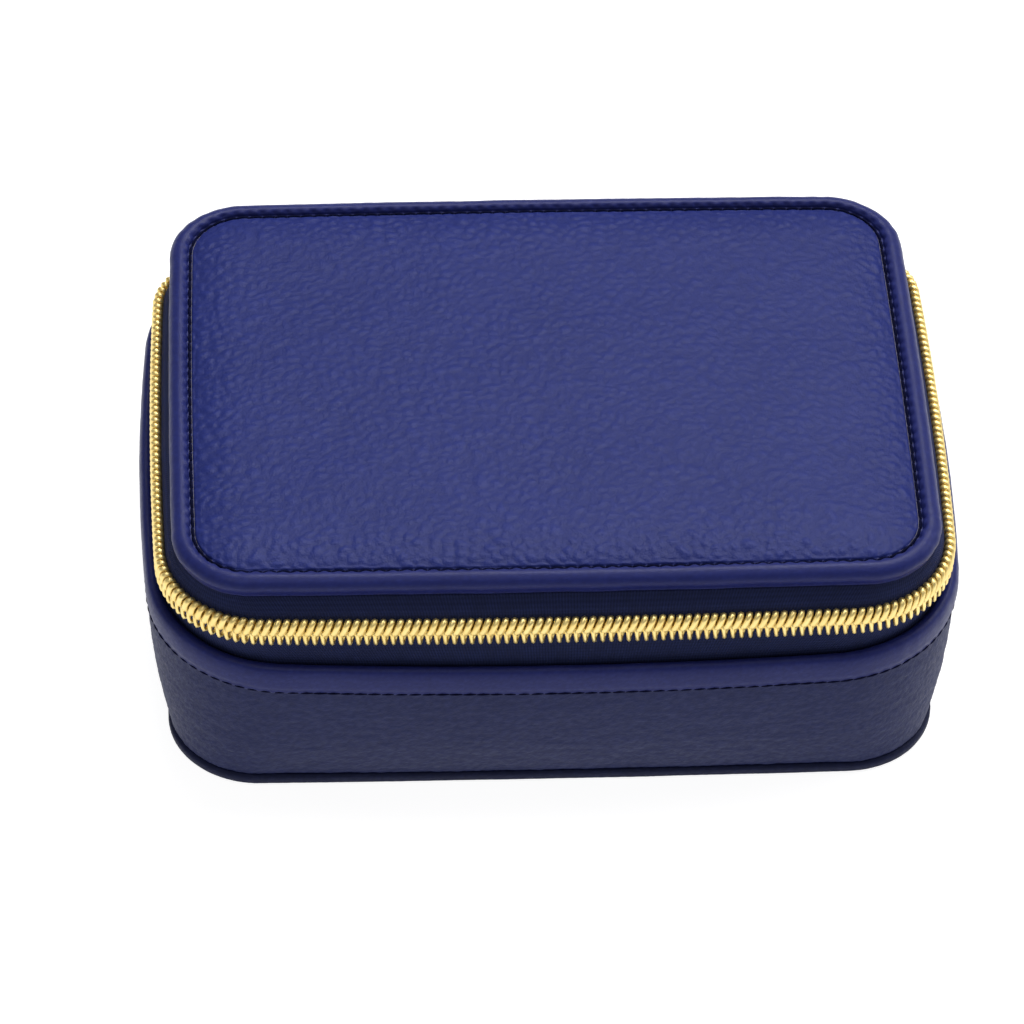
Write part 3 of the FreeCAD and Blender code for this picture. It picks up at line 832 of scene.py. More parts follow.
# The pebbles stand out most in a belt near the edge, where the skin is bent over the foam.
rolled = np.exp(-((depth - 7 * MM) / (4.5 * MM)) ** 2)
lip = np.clip((depth - PANEL_EDGE) / LIP_OVER, 0.2, 1)
panel_top += (panel_grain - 1) * (0.24 + 0.26 * rolled) * MM * lip
panel_top += 0.022 * MM * creases * creased + 0.09 * MM * soft_noise(spots, 13 * MM, 53)
panel_top -= stitch_dip(depth, run, 0.95 * MM, 0.36 * MM)
lid_panel = plate("lid_panel", panel_flat, panel_top, PANEL_LOW, pebble_leather, "lid")
keep_grain(lid_panel, panel_grain)
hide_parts("lid_top_leather", "lid_foam")
print("lid panel faces:", len(lid_panel.data.polygons))

# %% [markdown]
# ## The lid's binding
# A strip of thin leather is folded round the lid's board: a soft roll on top, a side that pulls in
# a little, and a turned edge under it that catches the light. A bevelled curve could follow the
# outline with such a section, but here the section goes round as a grid, so that the strip can
# pucker at each stitch and wrinkle across its width, most in the corners where it is gathered.

# %% Tools for a strip round the case
SPREAD = 12    # stations over which a corner's wrinkles die away


def ring_of(section, shape, step):
    """Grid of a section of (inset, height) rows carried round a loop, and its station lengths."""
    station, run = all_round(shape, step)
    grid, _ = swept(shape, section[:, 0], section[:, 1], station)
    return grid, station, run


def arch(count):
    """A column of numbers that rises from 0 to 1 and falls back, as a half wave."""
    return np.sin(np.linspace(0, math.pi, count))[:, None]


def gathers(station, run, size, salt):
    """Wrinkles across a strip, stronger in the corners: noise along the run."""
    line = np.stack([run, np.zeros_like(run), np.zeros_like(run)], -1)
    corner = np.floor(station).astype(int) % 2 == 1
    reach = 2 * SPREAD + 1
    weight = np.convolve(np.pad(corner.astype(float), SPREAD, mode="wrap"),
                         np.ones(reach) / reach, "valid")
    return (0.35 + 0.65 * weight) * soft_noise(line, size, salt)


# %% Lid binding
TOP_FROM, GROOVE_FLOOR = 48.9 * MM, 48.94 * MM
REAR_SINK = np.array([0.3, 0.1]) * MM    # forward and down, where the hinge pulls on the lid

roll = through([(4.22, 48.96), (3.74, 48.98), (3.46, 49.60), (2.75, 50.10), (1.75, 50.18),
                (0.72, 49.66), (0.12, 48.72), (0.16, 47.80), (0.50, 47.05), (0.72, 46.62),
                (0.80, 46.20), (1.15, 45.95), (1.9, 45.90)])
inner = np.array([(5.0, 45.9), (5.0, 46.9), (1.2, 46.9), (1.2, 48.92), (4.22, 48.92)]) * MM
binding, station, run = ring_of(np.vstack([roll[::-1], inner[::-1]]), LID, 0.42 * MM)
face = binding[:len(roll)]
depth, stitch_run = depth_and_run(LID, GROOVE, face[..., 0], face[..., 1])
on_top = face[..., 2] > TOP_FROM
skin = leather_grain(face, 1.0 * MM, 1.0, 70)
# Grain, wrinkles and unevenness of the roll, then the pull of the stitches and of the groove.
rise = 0.035 * MM * (skin - 1)
rise += 0.07 * MM * gathers(station, run, 1.7 * MM, 71)[None, :] * arch(len(roll))
rise += 0.08 * MM * soft_noise(face, 6.5 * MM, 72)
rise -= np.where(on_top, stitch_dip(depth, stitch_run, 0.8 * MM, 0.34 * MM), 0)
near_groove = np.exp(-((depth - 3.3 * MM) / (0.35 * MM)) ** 2) * on_top
scallops = soft_noise(face, 1.8 * MM, 73) + np.cos(2 * math.pi * stitch_run)
rise -= 0.13 * MM * near_groove * scallops
face[:] = raised(face, rise)
face[..., 2] = np.where(on_top, np.maximum(face[..., 2], GROOVE_FLOOR), face[..., 2])
depth, _ = depth_and_run(LID, GROOVE, *np.moveaxis(binding[..., :2], -1, 0))
at_rear = eased((binding[..., 1] - 38 * MM) / (10 * MM))
sunk = eased((GROOVE - depth) / (2.5 * MM)) * at_rear
binding[..., 1:] -= sunk[..., None] * REAR_SINK
lid_binding = piece_from_grid("lid_binding_strip", binding, smooth_leather, "lid",
                              close_rows=True, close_columns=True)
keep_grain(lid_binding, skin)
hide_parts("lid_binding")
print("lid binding faces:", len(lid_binding.data.polygons))

# %% [markdown]
# ## Stitches
# Each stitch is a short length of twisted thread that comes up through one hole and goes down the
# next. Copies of a thread object along a curve would work, but hundreds of objects are slow, so
# all the stitches of a seam are one mesh: a bent six-sided tube, worked out for every stitch at
# once.

# %% Seams
THREAD_SIDES, THREAD_PLACES = 6, 7    # round the thread, and along a stitch


def seam(name, shape, inset, height, body, lie, thread, lift):
    """Stitches round a loop. lie is (inwards, upwards), the way the seam's cloth faces.

    Along a stitch, u from 0 to 1, the thread's middle stands sin(pi u) times lift out of the
    cloth and its ends are sunk by half of its radius. Round it, the section is a circle.
    """
    station, length = even_stations(shape, inset, 0, 8, 0.1 * MM)
    pitch = stitch_pitch(length[-1])
    count = round(length[-1] / pitch)
    u = np.linspace(0, 1, THREAD_PLACES)
    run = (np.arange(count)[:, None] + 0.5 + 0.98 * (u - 0.5)) * pitch
    at = np.interp(run, length, station) % 8
    flat, out = (part[0].reshape(count, len(u), 2) for part in loop(shape, inset, at.ravel()))
    rise = lift * np.sin(math.pi * u) - 0.5 * thread * (1 - np.sin(math.pi * u))
    skew = 0.1 * MM * (u - 0.5)
    angle = np.arange(THREAD_SIDES) * 2 * math.pi / THREAD_SIDES
    off_cloth = rise[:, None] + thread * np.sin(angle)
    off_line = skew[:, None] + thread * np.cos(angle)
    sideways = lie[0] * off_cloth + lie[1] * off_line
    z = height + lie[1] * off_cloth - lie[0] * off_line
    points = flat[:, :, None] - out[:, :, None] * sideways[None, ..., None]
    points = np.concatenate([points, np.broadcast_to(z, (count, *z.shape))[..., None]], -1)
    index = np.arange(points[..., 0].size).reshape(points.shape[:3])
    beside = np.roll(index, -1, axis=2)
    quads = np.stack([index[:, :-1], index[:, 1:], beside[:, 1:], beside[:, :-1]], -1)
    ends = index[:, 0].tolist() + index[:, -1, ::-1].tolist()
    piece = make_piece(name, points, quads.reshape(-1, 4).tolist() + ends, thread_navy, body)
    keep_grain(piece, np.ones(len(piece.data.vertices)))
    return piece


lid_seam = seam("lid_stitches", LID, GROOVE, 48.98 * MM, "lid", (0, 1), 0.26 * MM, 0.14 * MM)
print("stitch faces:", len(lid_seam.data.polygons))

# %% [markdown]
# ## The wall of the tray
# The wall leather is glued to a stiff board, so it can't bulge, but the board itself is formed: it
# flares quickly from the foot and stands upright at the rim. Its share of the way from the foot
# loop to the rim loop at height t, from 0 to 1, is 1 - (1 - t)^1.7. At the foot the leather turns in
# under the board and leaves a dark groove above the bottom panel. Its grain was pulled along the
# wall as it was stretched on, so the pebbles are long and low.

# %% Wall leather
FOOT_Z, RIM_Z, WALL_TOP = 2.2 * MM, 26.0 * MM, 27.6 * MM
SHRINK_FROM, WALL_SHRINK = 12 * MM, 0.5 * MM    # it goes in again, to pass under the binding


def flare(z):
    """Share of the way from the foot loop to the rim loop at a height."""
    t = np.clip((z - FOOT_Z) / (RIM_Z - FOOT_Z), 0, 1)
    return 1 - (1 - t) ** 1.7


def wall_level(z, inset):
    """Loop sizes and inset of the wall at each height, at a depth from its leather face."""
    shrink = WALL_SHRINK * np.clip((z - SHRINK_FROM) / (RIM_Z - SHRINK_FROM), 0, 1)
    return mixed(FOOT, RIM, flare(z)), inset + shrink


# Levels lie closer together at the foot, where the first nine rows turn in under the board.
at_foot = 2.28 + 0.6 * (1 - np.cos(np.linspace(0, 1.57, 6)))[:-1]
wall_z = np.concatenate([at_foot * MM, np.linspace(2.9 * MM, WALL_TOP, 58)])
row = np.arange(len(wall_z))
turned_in = 0.85 * MM * np.exp(-row / 1.6) * (row < 9)
shape, depth = wall_level(wall_z, turned_in)
station, _ = all_round(RIM, 0.5 * MM)
wall_outer, _ = swept(shape, depth, wall_z, station)
wall_grain = leather_grain(wall_outer, 1.9 * MM, 2.6, 31)
rise = 0.16 * MM * (wall_grain - 1) + 0.10 * MM * soft_noise(wall_outer, 12 * MM, 32)
rise += 0.05 * MM * soft_noise(wall_outer * np.array([1, 1, 2.6]), 3.4 * MM, 33)
wall_outer = raised(wall_outer, rise)
back_z = np.array([WALL_TOP, 14.0 * MM, 2.5 * MM])
shape, depth = wall_level(back_z, 1.15 * MM)
wall_back, _ = swept(shape, depth, back_z, station)
wall = piece_from_grid("wall_leather_skin", np.vstack([wall_outer, wall_back]), wall_leather,
                       "base", close_rows=True, close_columns=True)
keep_grain(wall, wall_grain)
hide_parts("wall_leather")
print("wall faces:", len(wall.data.polygons))

# %% [markdown]
# ## Rim binding and its seam
# The rim is bound in the same thin leather as the lid. It rolls over the top of the board and ends
# in a cut edge, stitched through to the tape inside. Each stitch tugs that edge down a little, so
# its lower edge is a row of scallops: the edge's height gets a cosine of the run along the seam.

# %% Rim binding
LOW_EDGE, TUGGED = 27.1 * MM, 27.5 * MM    # heights of the cut edge and of the pull above it

rim_roll = through([(0.62, 27.02), (0.12, 27.12), (0.04, 28.2), (0.0, 29.8), (0.08, 31.1),
                    (0.45, 32.2), (1.15, 32.66), (1.95, 32.48), (2.5, 31.95), (2.85, 31.62),
                    (3.6, 31.5)])
rim_inner = np.array([(4.2, 31.2), (4.2, 27.2), (3.5, 27.2), (3.5, 31.32), (1.4, 31.32),
                      (1.4, 27.2)]) * MM
rim, station, run = ring_of(np.vstack([rim_roll, rim_inner]), RIM, 0.45 * MM)
face = rim[:len(rim_roll)]
level = rim_roll[:, 1:]
skin = leather_grain(face, 1.0 * MM, 1.0, 80)
holes = run / stitch_pitch(loop_length(RIM))
low_edge = np.exp(-((level - LOW_EDGE) / (0.7 * MM)) ** 2)
face[..., 2] -= 0.17 * MM * low_edge * np.cos(2 * math.pi * holes)[None, :]
rise = 0.035 * MM * (skin - 1) + 0.08 * MM * soft_noise(face, 7 * MM, 81)
rise += 0.05 * MM * gathers(station, run, 1.9 * MM, 82)[None, :] * arch(len(rim_roll))
rise -= 0.15 * MM * np.exp(-((level - TUGGED) / (0.6 * MM)) ** 2)
face[:] = raised(face, rise)
rim_piece = piece_from_grid("rim_binding_strip", rim, smooth_leather, "base",
                            close_rows=True, close_columns=True)
keep_grain(rim_piece, skin)
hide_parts("rim_binding")
rim_seam = seam("rim_stitches", RIM, 0.34 * MM, 27.05 * MM, "base", (-1, 0), 0.22 * MM, 0.06 * MM)
print("rim faces:", len(rim_piece.data.polygons), "seam faces:", len(rim_seam.data.polygons))

# %% [markdown]
# ## Bottom panel
# A flat panel under the tray, coloured darker than the wall, and a little larger than the
# foot of the wall. Its underside is what the case rests on, so it is rubbed flat.

# %% Bottom panel
edge = through([(1.3, 0.0), (0.35, 0.04), (-0.28, 0.42), (-0.42, 1.1), (-0.28, 1.8), (0.3, 2.14),
                (1.1, 2.18)], 5)
base_edge, _, _ = ring_of(edge, FOOT, 0.5 * MM)
skin = leather_grain(base_edge, 1.3 * MM, 1.4, 90)
rise = 0.06 * MM * (skin - 1) + 0.05 * MM * soft_noise(base_edge, 8 * MM, 91)
base_edge = raised(base_edge, arch(len(edge)) * rise)
bottom = piece_from_grid("bottom_panel", base_edge, foot_leather, "base",
                         close_columns=True, cap_rows=True)
keep_grain(bottom, skin)
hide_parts("bottom_leather")
print("bottom faces:", len(bottom.data.polygons))

# %% [markdown]
# ## Zip tape
# The tape is a stiff woven band, sewn inside the rim and under the lid. It follows three loops: it
# stands inside the rim, meets the chain's line at the teeth, and leans in to the lid above. The UV
# map holds the length along the tape and the distance across it, so that the woven ribs keep
# their width round the corners.

# %% Strips between loops
def rear_station(shape, inset, x):
    """Station on the rear side at a given x: the angle from the middle is asin(x / radius)."""
    radius, start, sweep = (part[2] for part in arcs_of(shape, inset)[2:])
    return 2 + (math.pi / 2 - math.asin(x / radius) - start) / sweep


def round_the_front(x):
    """Stations where a strip starts at -x on the chain's rear side, and ends at x after a turn."""
    return rear_station(CHAIN, 0, -x), rear_station(CHAIN, 0, x) + 8


def band(name, levels, thickness, first, last, material, body):
    """A strip that follows loops given as (shape, inset, height), smoothly from one to the next.

    Between two levels the sizes blend by a smooth step, so the strip leaves each level upright.
    Its stations are the chain's. The UV map is in metres, with the back moved clear of the front.
    """
    rows = []
    for (shape_a, inset_a, z_a), (shape_b, inset_b, z_b) in zip(levels[:-1], levels[1:]):
        count = max(3, int(abs(z_b - z_a) / (0.7 * MM)))
        t = np.arange(count) / count
        soft = eased(t)
        rows.append(np.stack([*mixed(shape_a, shape_b, soft), inset_a + (inset_b - inset_a) * soft,
                              z_a + (z_b - z_a) * t], -1))
    shape, inset, z = levels[-1]
    table = np.vstack([*rows, [[*shape, inset, z]]])
    height = table[:, 6]
    station, run = even_stations(CHAIN, 0, first, last, 0.8 * MM)
    outer, out = swept(table[:, :5].T, table[:, 5], height, station % 8)
    outer = outer + out * (0.05 * MM * soft_noise(outer, 9 * MM, 95))[..., None]
    grid = np.vstack([outer, (outer - out * thickness)[::-1]])
    across = np.concatenate([height, height[::-1] + 40 * MM])
    uv = np.stack(np.broadcast_arrays(run[None, :], across[:, None]), -1)
    return piece_from_grid(name, grid, material, body, close_rows=True, cap_ends=True, uv=uv), grid


# %% Tapes
CHAIN_Z = 40.0 * MM
TAPE_THICK, TAPE_IN, RIM_TAPE = 0.6 * MM, 1.0 * MM, 4.35 * MM
TAIL_IN, TAIL_OUT = 24.0 * MM, 49.5 * MM    # where a tail ends and starts, in x

lower_levels = [(RIM, RIM_TAPE, 27 * MM), (RIM, RIM_TAPE, 31.2 * MM), (RIM, 2.75 * MM, 31.7 * MM),
                (CHAIN, TAPE_IN, 36.6 * MM), (CHAIN, TAPE_IN, 39.9 * MM)]
upper_levels = [(CHAIN, TAPE_IN, 40.1 * MM), (CHAIN, TAPE_IN, 42.6 * MM),
                (LID, 2.1 * MM, 45.85 * MM)]
tail_levels = [(CHAIN, TAPE_IN, 40.1 * MM), (CHAIN, TAPE_IN, 44.5 * MM),
               (LID, 1.7 * MM, 45.65 * MM)]
lower_ends, upper_ends = round_the_front(TAIL_IN), round_the_front(TAIL_OUT)
lower_tape, _ = band("tape_lower", lower_levels, TAPE_THICK, *lower_ends, tape_cloth, "base")
upper_tape, _ = band("tape_upper", upper_levels, TAPE_THICK, *upper_ends, tape_cloth, "lid")
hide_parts("zip_lower_tape")
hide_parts("zip_upper_tape")
for side, ends in (("left", (-TAIL_IN, -TAIL_OUT)), ("right", (TAIL_OUT, TAIL_IN))):
    stations = [rear_station(CHAIN, 0, x) for x in ends]
    tail, _ = band("tape_tail_" + side, tail_levels, TAPE_THICK, *stations, tape_cloth, "base")
    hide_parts("zip_tail_tape")

# %% [markdown]
# ## The chain
# A coil zip has no separate teeth. Each half is one wire wound into a flattened spiral and sewn to
# the edge of its tape, and the heads of one spiral sit between the heads of the other. The wire
# here is plated a bright gold. A Screw modifier makes a spiral along a line, but this one has to go
# round bowed sides and corners, so the spiral is worked out along the loop itself.

# %% One coil
PITCH = 1.53 * MM          # from one turn to the next
SEGMENTS, ROUND = 12, 6    # along a turn, and round the wire
COIL_IN, COIL_OUT = 25.5 * MM, 49.3 * MM
COIL_RISE, COIL_REACH, COIL_DEPTH = 1.08 * MM, 1.42 * MM, 0.66 * MM
SQUARE_REACH, SQUARE_DEPTH = 0.9, 0.55
MOUTH_X, MOUTH_RAMP, PARTED = -41.5 * MM, 2.5 * MM, 0.85 * MM

whole_chain, lid_chain = round_the_front(COIL_IN), round_the_front(COIL_OUT)
chain_station, chain_length = even_stations(CHAIN, 0, *whole_chain, 0.05 * MM)


def squared(value, power):
    """Value raised to a power under 1, with its sign kept: it makes a round turn squarer."""
    return np.sign(value) * np.abs(value) ** power


def parting(base):
    """How far the halves are parted: from the slider's mouth on, to the end of the chain."""
    from_mouth = eased((base[:, 0] - MOUTH_X) / MOUTH_RAMP)
    return PARTED * from_mouth * (base[:, 0] < 0) * (base[:, 1] > 0)


def coil(name, first, last, up, body, wire, start_turn=0.0):
    """Spiral wire on the chain's loop. up is 1 for the lid's half and -1 for the base's.

    At turn angle a, the wire's middle stands COIL_RISE + COIL_REACH cos a above the chain's line
    and -COIL_DEPTH sin a out of it, and moves a / 2 pi + lean cos a pitches along. A positive
    lean slants the outer legs more than the inner ones. The sine and cosine are raised to powers
    under 1, which squares the turn, and the section is an ellipse that is widest at the heads.
    wire is (half width along the chain, half thickness, lean, how much wider the heads are).
    Where the halves are parted, a half stands off by most of the shift and reaches less far.
    """
    along, thick, lean, flat_head = wire
    ends = np.interp([first, last], chain_station, chain_length) / PITCH - start_turn
    first_turn, last_turn = (math.ceil(end) for end in ends)
    last_turn = min(last_turn, math.floor(chain_length[-1] / PITCH - start_turn))
    a = np.arange((last_turn - first_turn) * SEGMENTS + 1) * 2 * math.pi / SEGMENTS
    run = (first_turn + start_turn + a / (2 * math.pi) + lean * np.cos(a)) * PITCH
    at = np.interp(run, chain_length, chain_station) % 8
    base, out = (part[0] for part in loop(CHAIN, 0, at))
    forward = np.stack([-out[:, 1], out[:, 0]], -1)
    fore, side = np.cos(a), np.sin(a)
    shift = parting(base)
    v = COIL_RISE + (COIL_REACH - 0.35 * shift) * squared(fore, SQUARE_REACH) + 0.75 * shift
    w = -COIL_DEPTH * squared(side, SQUARE_DEPTH)
    normal_v, normal_w = fore / COIL_REACH, -side / COIL_DEPTH
    scale = np.hypot(normal_v, normal_w)
    normal_v, normal_w = normal_v / scale, normal_w / scale
    theta = np.arange(ROUND) * 2 * math.pi / ROUND
    head = 1 + flat_head * (0.5 - 0.5 * fore) ** 4
    wide = along * head * np.sin(theta)[:, None]
    high = thick * np.cos(theta)[:, None]
    flat = base + out * (w + high * normal_w)[..., None] + forward * wide[..., None]
    z = CHAIN_Z + up * (v + high * normal_v)
    piece = piece_from_grid(name, np.dstack([flat, z]), gold_coil, body,
                            close_rows=True, cap_ends=True)
    return piece


# %% The two halves and their tails
LID_WIRE = (0.62 * MM, 0.44 * MM, 0.13, 0.6)
BASE_WIRE = (0.38 * MM, 0.38 * MM, -0.06, 0.3)

lower_coil = coil("coil_lower", *whole_chain, -1, "base", BASE_WIRE, start_turn=0.5)
upper_coil = coil("coil_upper", *lid_chain, 1, "lid", LID_WIRE)
tail_left = coil("coil_tail_left", whole_chain[0], lid_chain[0], 1, "base", LID_WIRE)
tail_right = coil("coil_tail_right", lid_chain[1], whole_chain[1], 1, "base", LID_WIRE)
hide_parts("zip_lower_coil")
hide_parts("zip_upper_coil")
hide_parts("zip_tail_coil")
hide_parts("zip_tail_coil")
print("coil faces:", len(lower_coil.data.polygons) + len(upper_coil.data.polygons))

# %% [markdown]
# ## Hinge
# Between the two ends of the zip, the lid hangs on a strip of leather glued inside the rim and
# under the lid. It bends when the lid opens, so it follows the base at its lower edge and the lid at
# its upper edge, and turns smoothly between them.

# %% Hinge leather
HINGE_HALF, HINGE_OUT, HINGE_BEND = 23.6 * MM, -0.4 * MM, 5 * MM

hinge_levels = [(RIM, RIM_TAPE, 26.4 * MM), (RIM, RIM_TAPE, 32.2 * MM),
                (CHAIN, HINGE_OUT, 36.4 * MM), (CHAIN, HINGE_OUT, 43.4 * MM),
                (LID, 2.05 * MM, 45.85 * MM)]
hinge_ends = [rear_station(CHAIN, 0, x) for x in (HINGE_HALF, -HINGE_HALF)]
hinge, hinge_grid = band("hinge_strip", hinge_levels, 0.95 * MM, *hinge_ends, pebble_leather, "")
keep_grain(hinge, leather_grain(hinge_grid, 1.6 * MM, 1.3, 97))
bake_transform(hinge)
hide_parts("hinge_leather")
print("hinge faces:", len(hinge.data.polygons))

# %% [markdown]
# ## Inside the tray
# The tray is lined with a suede-like cloth over thin padding. The lining follows the boards, which
# run straight from the foot to the belly of the wall and on to the rim, so its levels are a little
# different from the leather's outside. Its top edge is turned over and rolled.

# %% Lining of the wall
BELLY_Z = 12.5 * MM


def core_level(z, inset):
    """Loop sizes and inset inside the boards, straight between the wall's three bends."""
    share = np.interp(z, [FOOT_Z, BELLY_Z, RIM_Z], [0, 0.62, 1])
    return mixed(FOOT, RIM, share), inset + np.interp(z, [BELLY_Z, RIM_Z], [0, 0.3 * MM])


lining_line = through([(4.86, 4.8), (4.86, 14.0), (4.86, 25.0), (4.86, 31.6), (5.15, 32.25),
                       (5.7, 32.4), (6.25, 32.1), (6.42, 31.3), (6.36, 28.5), (6.36, 24.0),
                       (6.36, 18.0), (6.36, 12.0), (6.4, 8.0), (6.42, 4.8)], 7)
shape, depth = core_level(lining_line[:, 1], lining_line[:, 0])
lining_grid, _ = swept(shape, depth, lining_line[:, 1], all_round(RIM, 0.9 * MM)[0])
inner_face = (lining_line[:, 0] > 6.0 * MM)[:, None]
puffed = 0.16 * MM * soft_noise(lining_grid, 11 * MM, 101) * inner_face
lining_grid = raised(lining_grid, np.minimum(puffed, 0.1 * MM))
lining = piece_from_grid("tray_lining", lining_grid, suede, "base",
                         close_rows=True, close_columns=True)
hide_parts("wall_lining", "wall_padding")
print("lining faces:", len(lining.data.polygons))

# %% Floor pad
floor_shape, floor_inset = core_level(5.5 * MM, 6.75 * MM)
floor_shape, floor_inset = tuple(float(part) for part in floor_shape), float(floor_inset)
floor_flat = filled(floor_shape, floor_inset, 0.2 * MM, 1.1 * MM)
depth, _ = depth_and_run(floor_shape, 0, floor_flat[..., 0], floor_flat[..., 1])
floor_top = 5.3 * MM + 0.82 * MM * rounded(depth - floor_inset, 0.9 * MM)
floor_top += 0.05 * MM * soft_noise(in_space(floor_flat), 9 * MM, 103)
floor_pad = plate("tray_floor_pad", floor_flat, floor_top, 4.72 * MM, suede, "base")
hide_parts("floor_pad")
print("floor pad faces:", len(floor_pad.data.polygons))

# %% [markdown]
# ## Dividers
# Each divider is a thin card in a sleeve of the lining, with a rounded top. It stands between two
# walls that flare, so it is longer at the top than at the floor: where a bowed wall is met is
# found from its circle, c + sqrt(r^2 - d^2), with d the distance to the side.

# %% Dividers
INSIDE = 6.55 * MM    # from the wall's leather in to where a divider may stand
TOP_POINTS, SIDE_POINTS, LONG_POINTS = 13, 14, 60


def wall_reach(z, off, long_way):
    """How far from the middle the inner wall is, along X if long_way, else along Y."""
    shape, inset = core_level(z, INSIDE)
    centre_x, centre_y, radius = arcs_of(shape, inset)[:3]
    if long_way:
        return centre_x[0] + np.sqrt(radius[0] ** 2 - off**2)
    return centre_y[2] + np.sqrt(radius[2] ** 2 - off**2)


def divider(name, node, along_x, start):
    """Upright padded card. start is where its near end is, or None for the opposite wall.

    It is a little thinner at its ends, where the lining's stitches hold it.
    """
    low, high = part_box(node)
    side = 1 if along_x else 0
    middle, half = (low[side] + high[side]) / 2, (high[side] - low[side]) / 2
    angle = np.linspace(0, math.pi, TOP_POINTS)
    across = np.repeat([0, -half, half], [TOP_POINTS, SIDE_POINTS, SIDE_POINTS])
    across[:TOP_POINTS] = half * np.cos(angle)
    upright = np.linspace(high[2] - half, low[2] + 0.03 * MM, SIDE_POINTS + 1)[1:]
    z = np.concatenate([high[2] - half + half * np.sin(angle), upright, upright[::-1]])
    far = wall_reach(z, middle, along_x)
    near = -far if start is None else np.full(len(z), start)
    u = (0.5 - 0.5 * np.cos(np.linspace(0, math.pi, LONG_POINTS)))[None, :]
    along = near[:, None] + (far - near)[:, None] * u
    puff = 1 - 0.10 * (1 - np.sin(math.pi * np.clip(u, 0.02, 0.98)) ** 0.35)
    width = middle + across[:, None] * puff
    height = np.broadcast_to(z[:, None], along.shape)
    order = [along, width] if along_x else [width, along]
    piece = piece_from_grid(name, np.dstack([*order, height]), suede, "base",
                            close_rows=True, cap_ends=True)
    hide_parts(node)
    return piece


long_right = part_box("divider_long")[1][0]
cross_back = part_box("divider_cross")[1][1]
dividers = [divider("divider_between_halves", "divider_long", False, None),
            divider("divider_across", "divider_cross", True, long_right),
            divider("divider_rear", "divider_short", False, cross_back)]
print("divider faces:", [len(piece.data.polygons) for piece in dividers])

# %% [markdown]
# ## Ring rolls
# Rings are pushed between soft rolls of cloth stuffed with fibre. A stuffed roll bulges between its
# ends and pulls in at its seams, which is what a cloth simulation with inside pressure gives. The
# roll is simulated once, ten times as large because cloth settles badly at the size of a
# fingertip, and the result is fitted to the place of each of the seven rolls. The ends are then
# pressed in where they meet the flared wall.

# %% A stuffed roll
def roll_form(length, width, height):
    """Closed tube with upright sides, a half-round top and flat ends, along X."""
    half = width / 2
    angle = np.linspace(0, math.pi, 9)
    y = np.concatenate([half * np.cos(angle), [-half, half]])
    z = np.concatenate([height - half + half * np.sin(angle), [0, 0]])
    x = np.linspace(-length / 2, length / 2, 12)
    grid = np.stack(np.broadcast_arrays(x[None, :], y[:, None], z[:, None]), -1)
    return piece_from_grid("roll_form", grid, suede, "", close_rows=True, cap_ends=True)


def stuffed(form, voxel, pressure, frames, most):
    """Points and faces of a closed form after cloth simulation.

    The mesh is made even in steps of voxel, the pressure acts over the frames, and no point moves
    further than most.
    """
    remesh = form.modifiers.new("even_faces", "REMESH")
    remesh.mode = "VOXEL"
    remesh.voxel_size = voxel
    bpy.context.view_layer.update()
    graph = bpy.context.evaluated_depsgraph_get()
    even = bpy.data.meshes.new_from_object(form.evaluated_get(graph))
    form.modifiers.clear()
    form.data = even
    start = np.array([v.co for v in even.vertices])
    faces = [list(face.vertices) for face in even.polygons]
    cloth = form.modifiers.new("stuffing", "CLOTH")
    cloth.settings.quality = 5
    cloth.settings.use_pressure = True
    cloth.settings.uniform_pressure_force = pressure
    cloth.settings.effector_weights.gravity = 0
    scene = bpy.context.scene
    for number in range(1, frames + 1):
        scene.frame_set(number)
    graph = bpy.context.evaluated_depsgraph_get()
    settled = form.evaluated_get(graph).to_mesh()
    moved = np.array([v.co for v in settled.vertices]) - start
    form.modifiers.clear()
    scene.frame_set(1)
    length = np.maximum(np.linalg.norm(moved, axis=1, keepdims=True), TINY)
    start = start + moved * np.minimum(1, most / length)
    bpy.data.objects.remove(form)
    return start, faces


def tucked(points, inset):
    """Points outside the tray's inner wall are brought straight back to it."""
    shape, inset = core_level(points[:, 2], inset)
    centre_x, centre_y, radius, start, sweep = arcs_of(shape, inset)
    x, y = points[:, 0].copy(), points[:, 1].copy()
    for k in range(8):
        angle = (np.arctan2(y - centre_y[k], x - centre_x[k]) - start[k]) % (2 * math.pi)
        reach = np.hypot(x - centre_x[k], y - centre_y[k])
        outside = (angle <= sweep[k]) & (reach > radius[k])
        scale = np.where(outside, radius[k] / reach, 1)
        x = centre_x[k] + (x - centre_x[k]) * scale
        y = centre_y[k] + (y - centre_y[k]) * scale
    return np.stack([x, y, points[:, 2]], -1)


# %% Seven rolls
ENLARGED = 10
UNSTUFFED = np.array([0.97, 0.93, 0.95])    # length, width and height before the stuffing
ROLL_INSET = 7.3 * MM

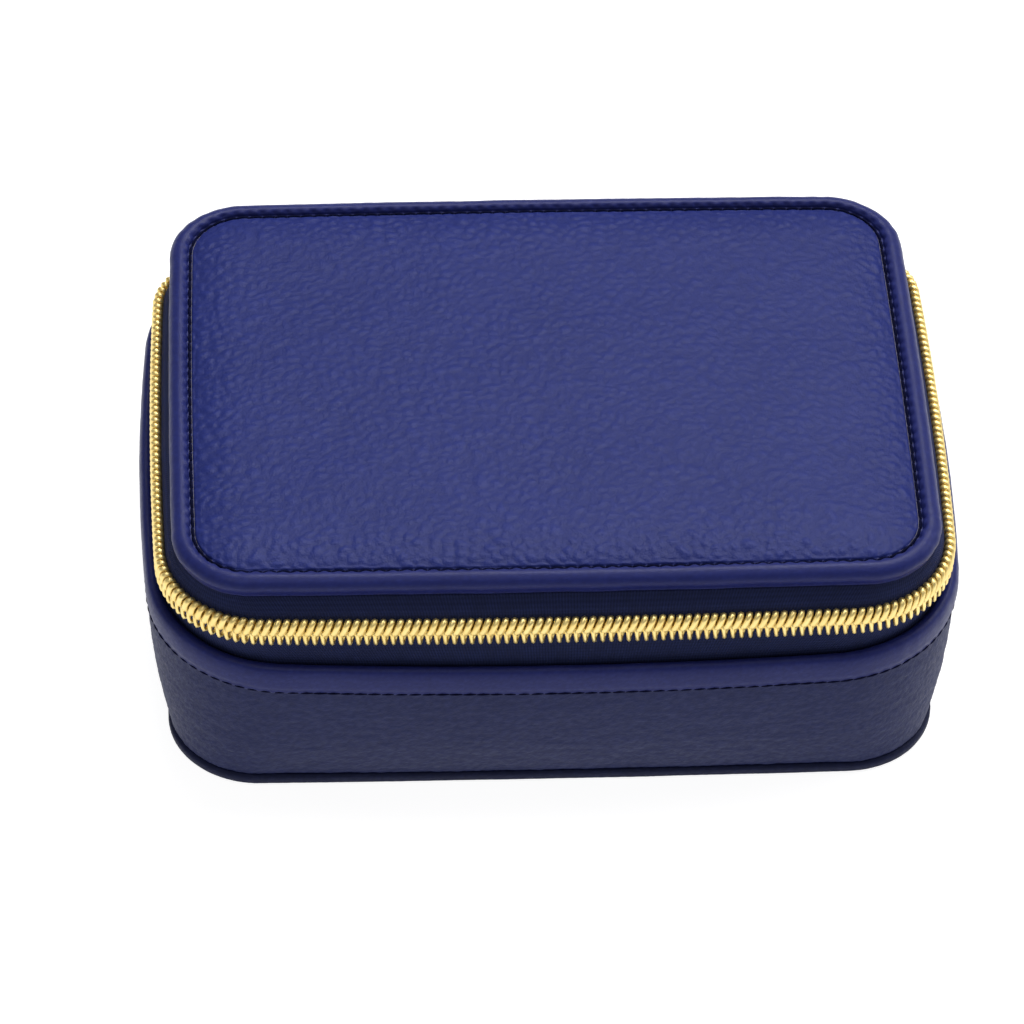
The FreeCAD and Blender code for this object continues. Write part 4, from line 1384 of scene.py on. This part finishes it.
roll_low, roll_high = (np.array(corner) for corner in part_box("ring_roll_4"))
slack_size = (roll_high - roll_low) * ENLARGED * UNSTUFFED
roll_points, roll_faces = stuffed(roll_form(*slack_size), voxel=0.006, pressure=4.0, frames=20,
                                  most=0.012)
unit_low, unit_high = roll_points.min(0), roll_points.max(0)
unit = (roll_points - unit_low) / (unit_high - unit_low)
for number in range(1, 8):
    low, high = (np.array(corner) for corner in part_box("ring_roll_%d" % number))
    low[0] -= 1.0 * MM    # the left end starts inside the wall, and is pressed back from it
    seat = low + unit * (high - low)
    seat[:, 1] += 0.10 * MM * soft_noise(seat + number, 5 * MM, 110)
    roll_piece = make_piece("ring_roll_soft_%d" % number, tucked(seat, ROLL_INSET), roll_faces,
                            suede, "base")
    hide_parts("ring_roll_%d" % number)
print("ring rolls: 7, faces each:", len(roll_faces))

# %% [markdown]
# ## Inside the lid
# The lid's inside is lined like the tray, and holds a mirror in a raised frame of the same cloth.
# The mirror is glass with silver behind it, and its plain plate from the construction is right as
# it is, so it only gets its finish.

# %% Lid lining
LINING_EDGE = 5.2 * MM

lid_flat = filled(LID, LINING_EDGE, 0.2 * MM, 0.9 * MM)
depth, _ = depth_and_run(LID, 0, lid_flat[..., 0], lid_flat[..., 1])
lid_under = 46.0 * MM - 1.05 * MM * rounded(depth - LINING_EDGE, 1.3 * MM)
lid_under += 0.05 * MM * soft_noise(in_space(lid_flat), 10 * MM, 121)
lid_lining = plate("lid_lining_pad", lid_flat, lid_under, 46.87 * MM, suede, "lid")
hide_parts("lid_lining")
print("lid lining faces:", len(lid_lining.data.polygons))

# %% Mirror frame
frame_line = through([(1.45, 43.36), (1.5, 43.1), (1.2, 42.86), (-1.0, 42.72), (-3.5, 42.74),
                      (-5.3, 43.05), (-5.95, 43.8), (-6.0, 44.85)], 5)
frame_back = np.array([(-0.15, 44.85), (-0.15, 43.4)]) * MM
frame_grid, _, _ = ring_of(np.vstack([frame_line, frame_back]), MIRROR, 0.8 * MM)
mirror_frame = piece_from_grid("mirror_frame_pad", frame_grid, suede, "lid",
                               close_rows=True, close_columns=True)
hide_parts("mirror_frame")
print("mirror frame faces:", len(mirror_frame.data.polygons))

# %% [markdown]
# ## Metal, glass and boards
# The slider, its link, the pull tab and the four stops are cast and stamped pieces, whose shapes
# come straight from the construction. They only need their plating. The boards inside the leather
# hardly show, but they get the look of grey card all the same.

# %% Finishes for pieces of the construction
def finish(node, material):
    """Puts a finish on a piece of the construction."""
    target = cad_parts[node]
    if not target.material_slots:
        target.data.materials.append(material)
    for slot in target.material_slots:
        slot.material = material


for node in ("zip_slider", "pull_link", "pull_tab", "zip_stops"):
    finish(node, gold_metal)
for node in ("bottom_board", "wall_board", "lid_board"):
    finish(node, grey_board)
finish("lid_mirror", mirror_glass)
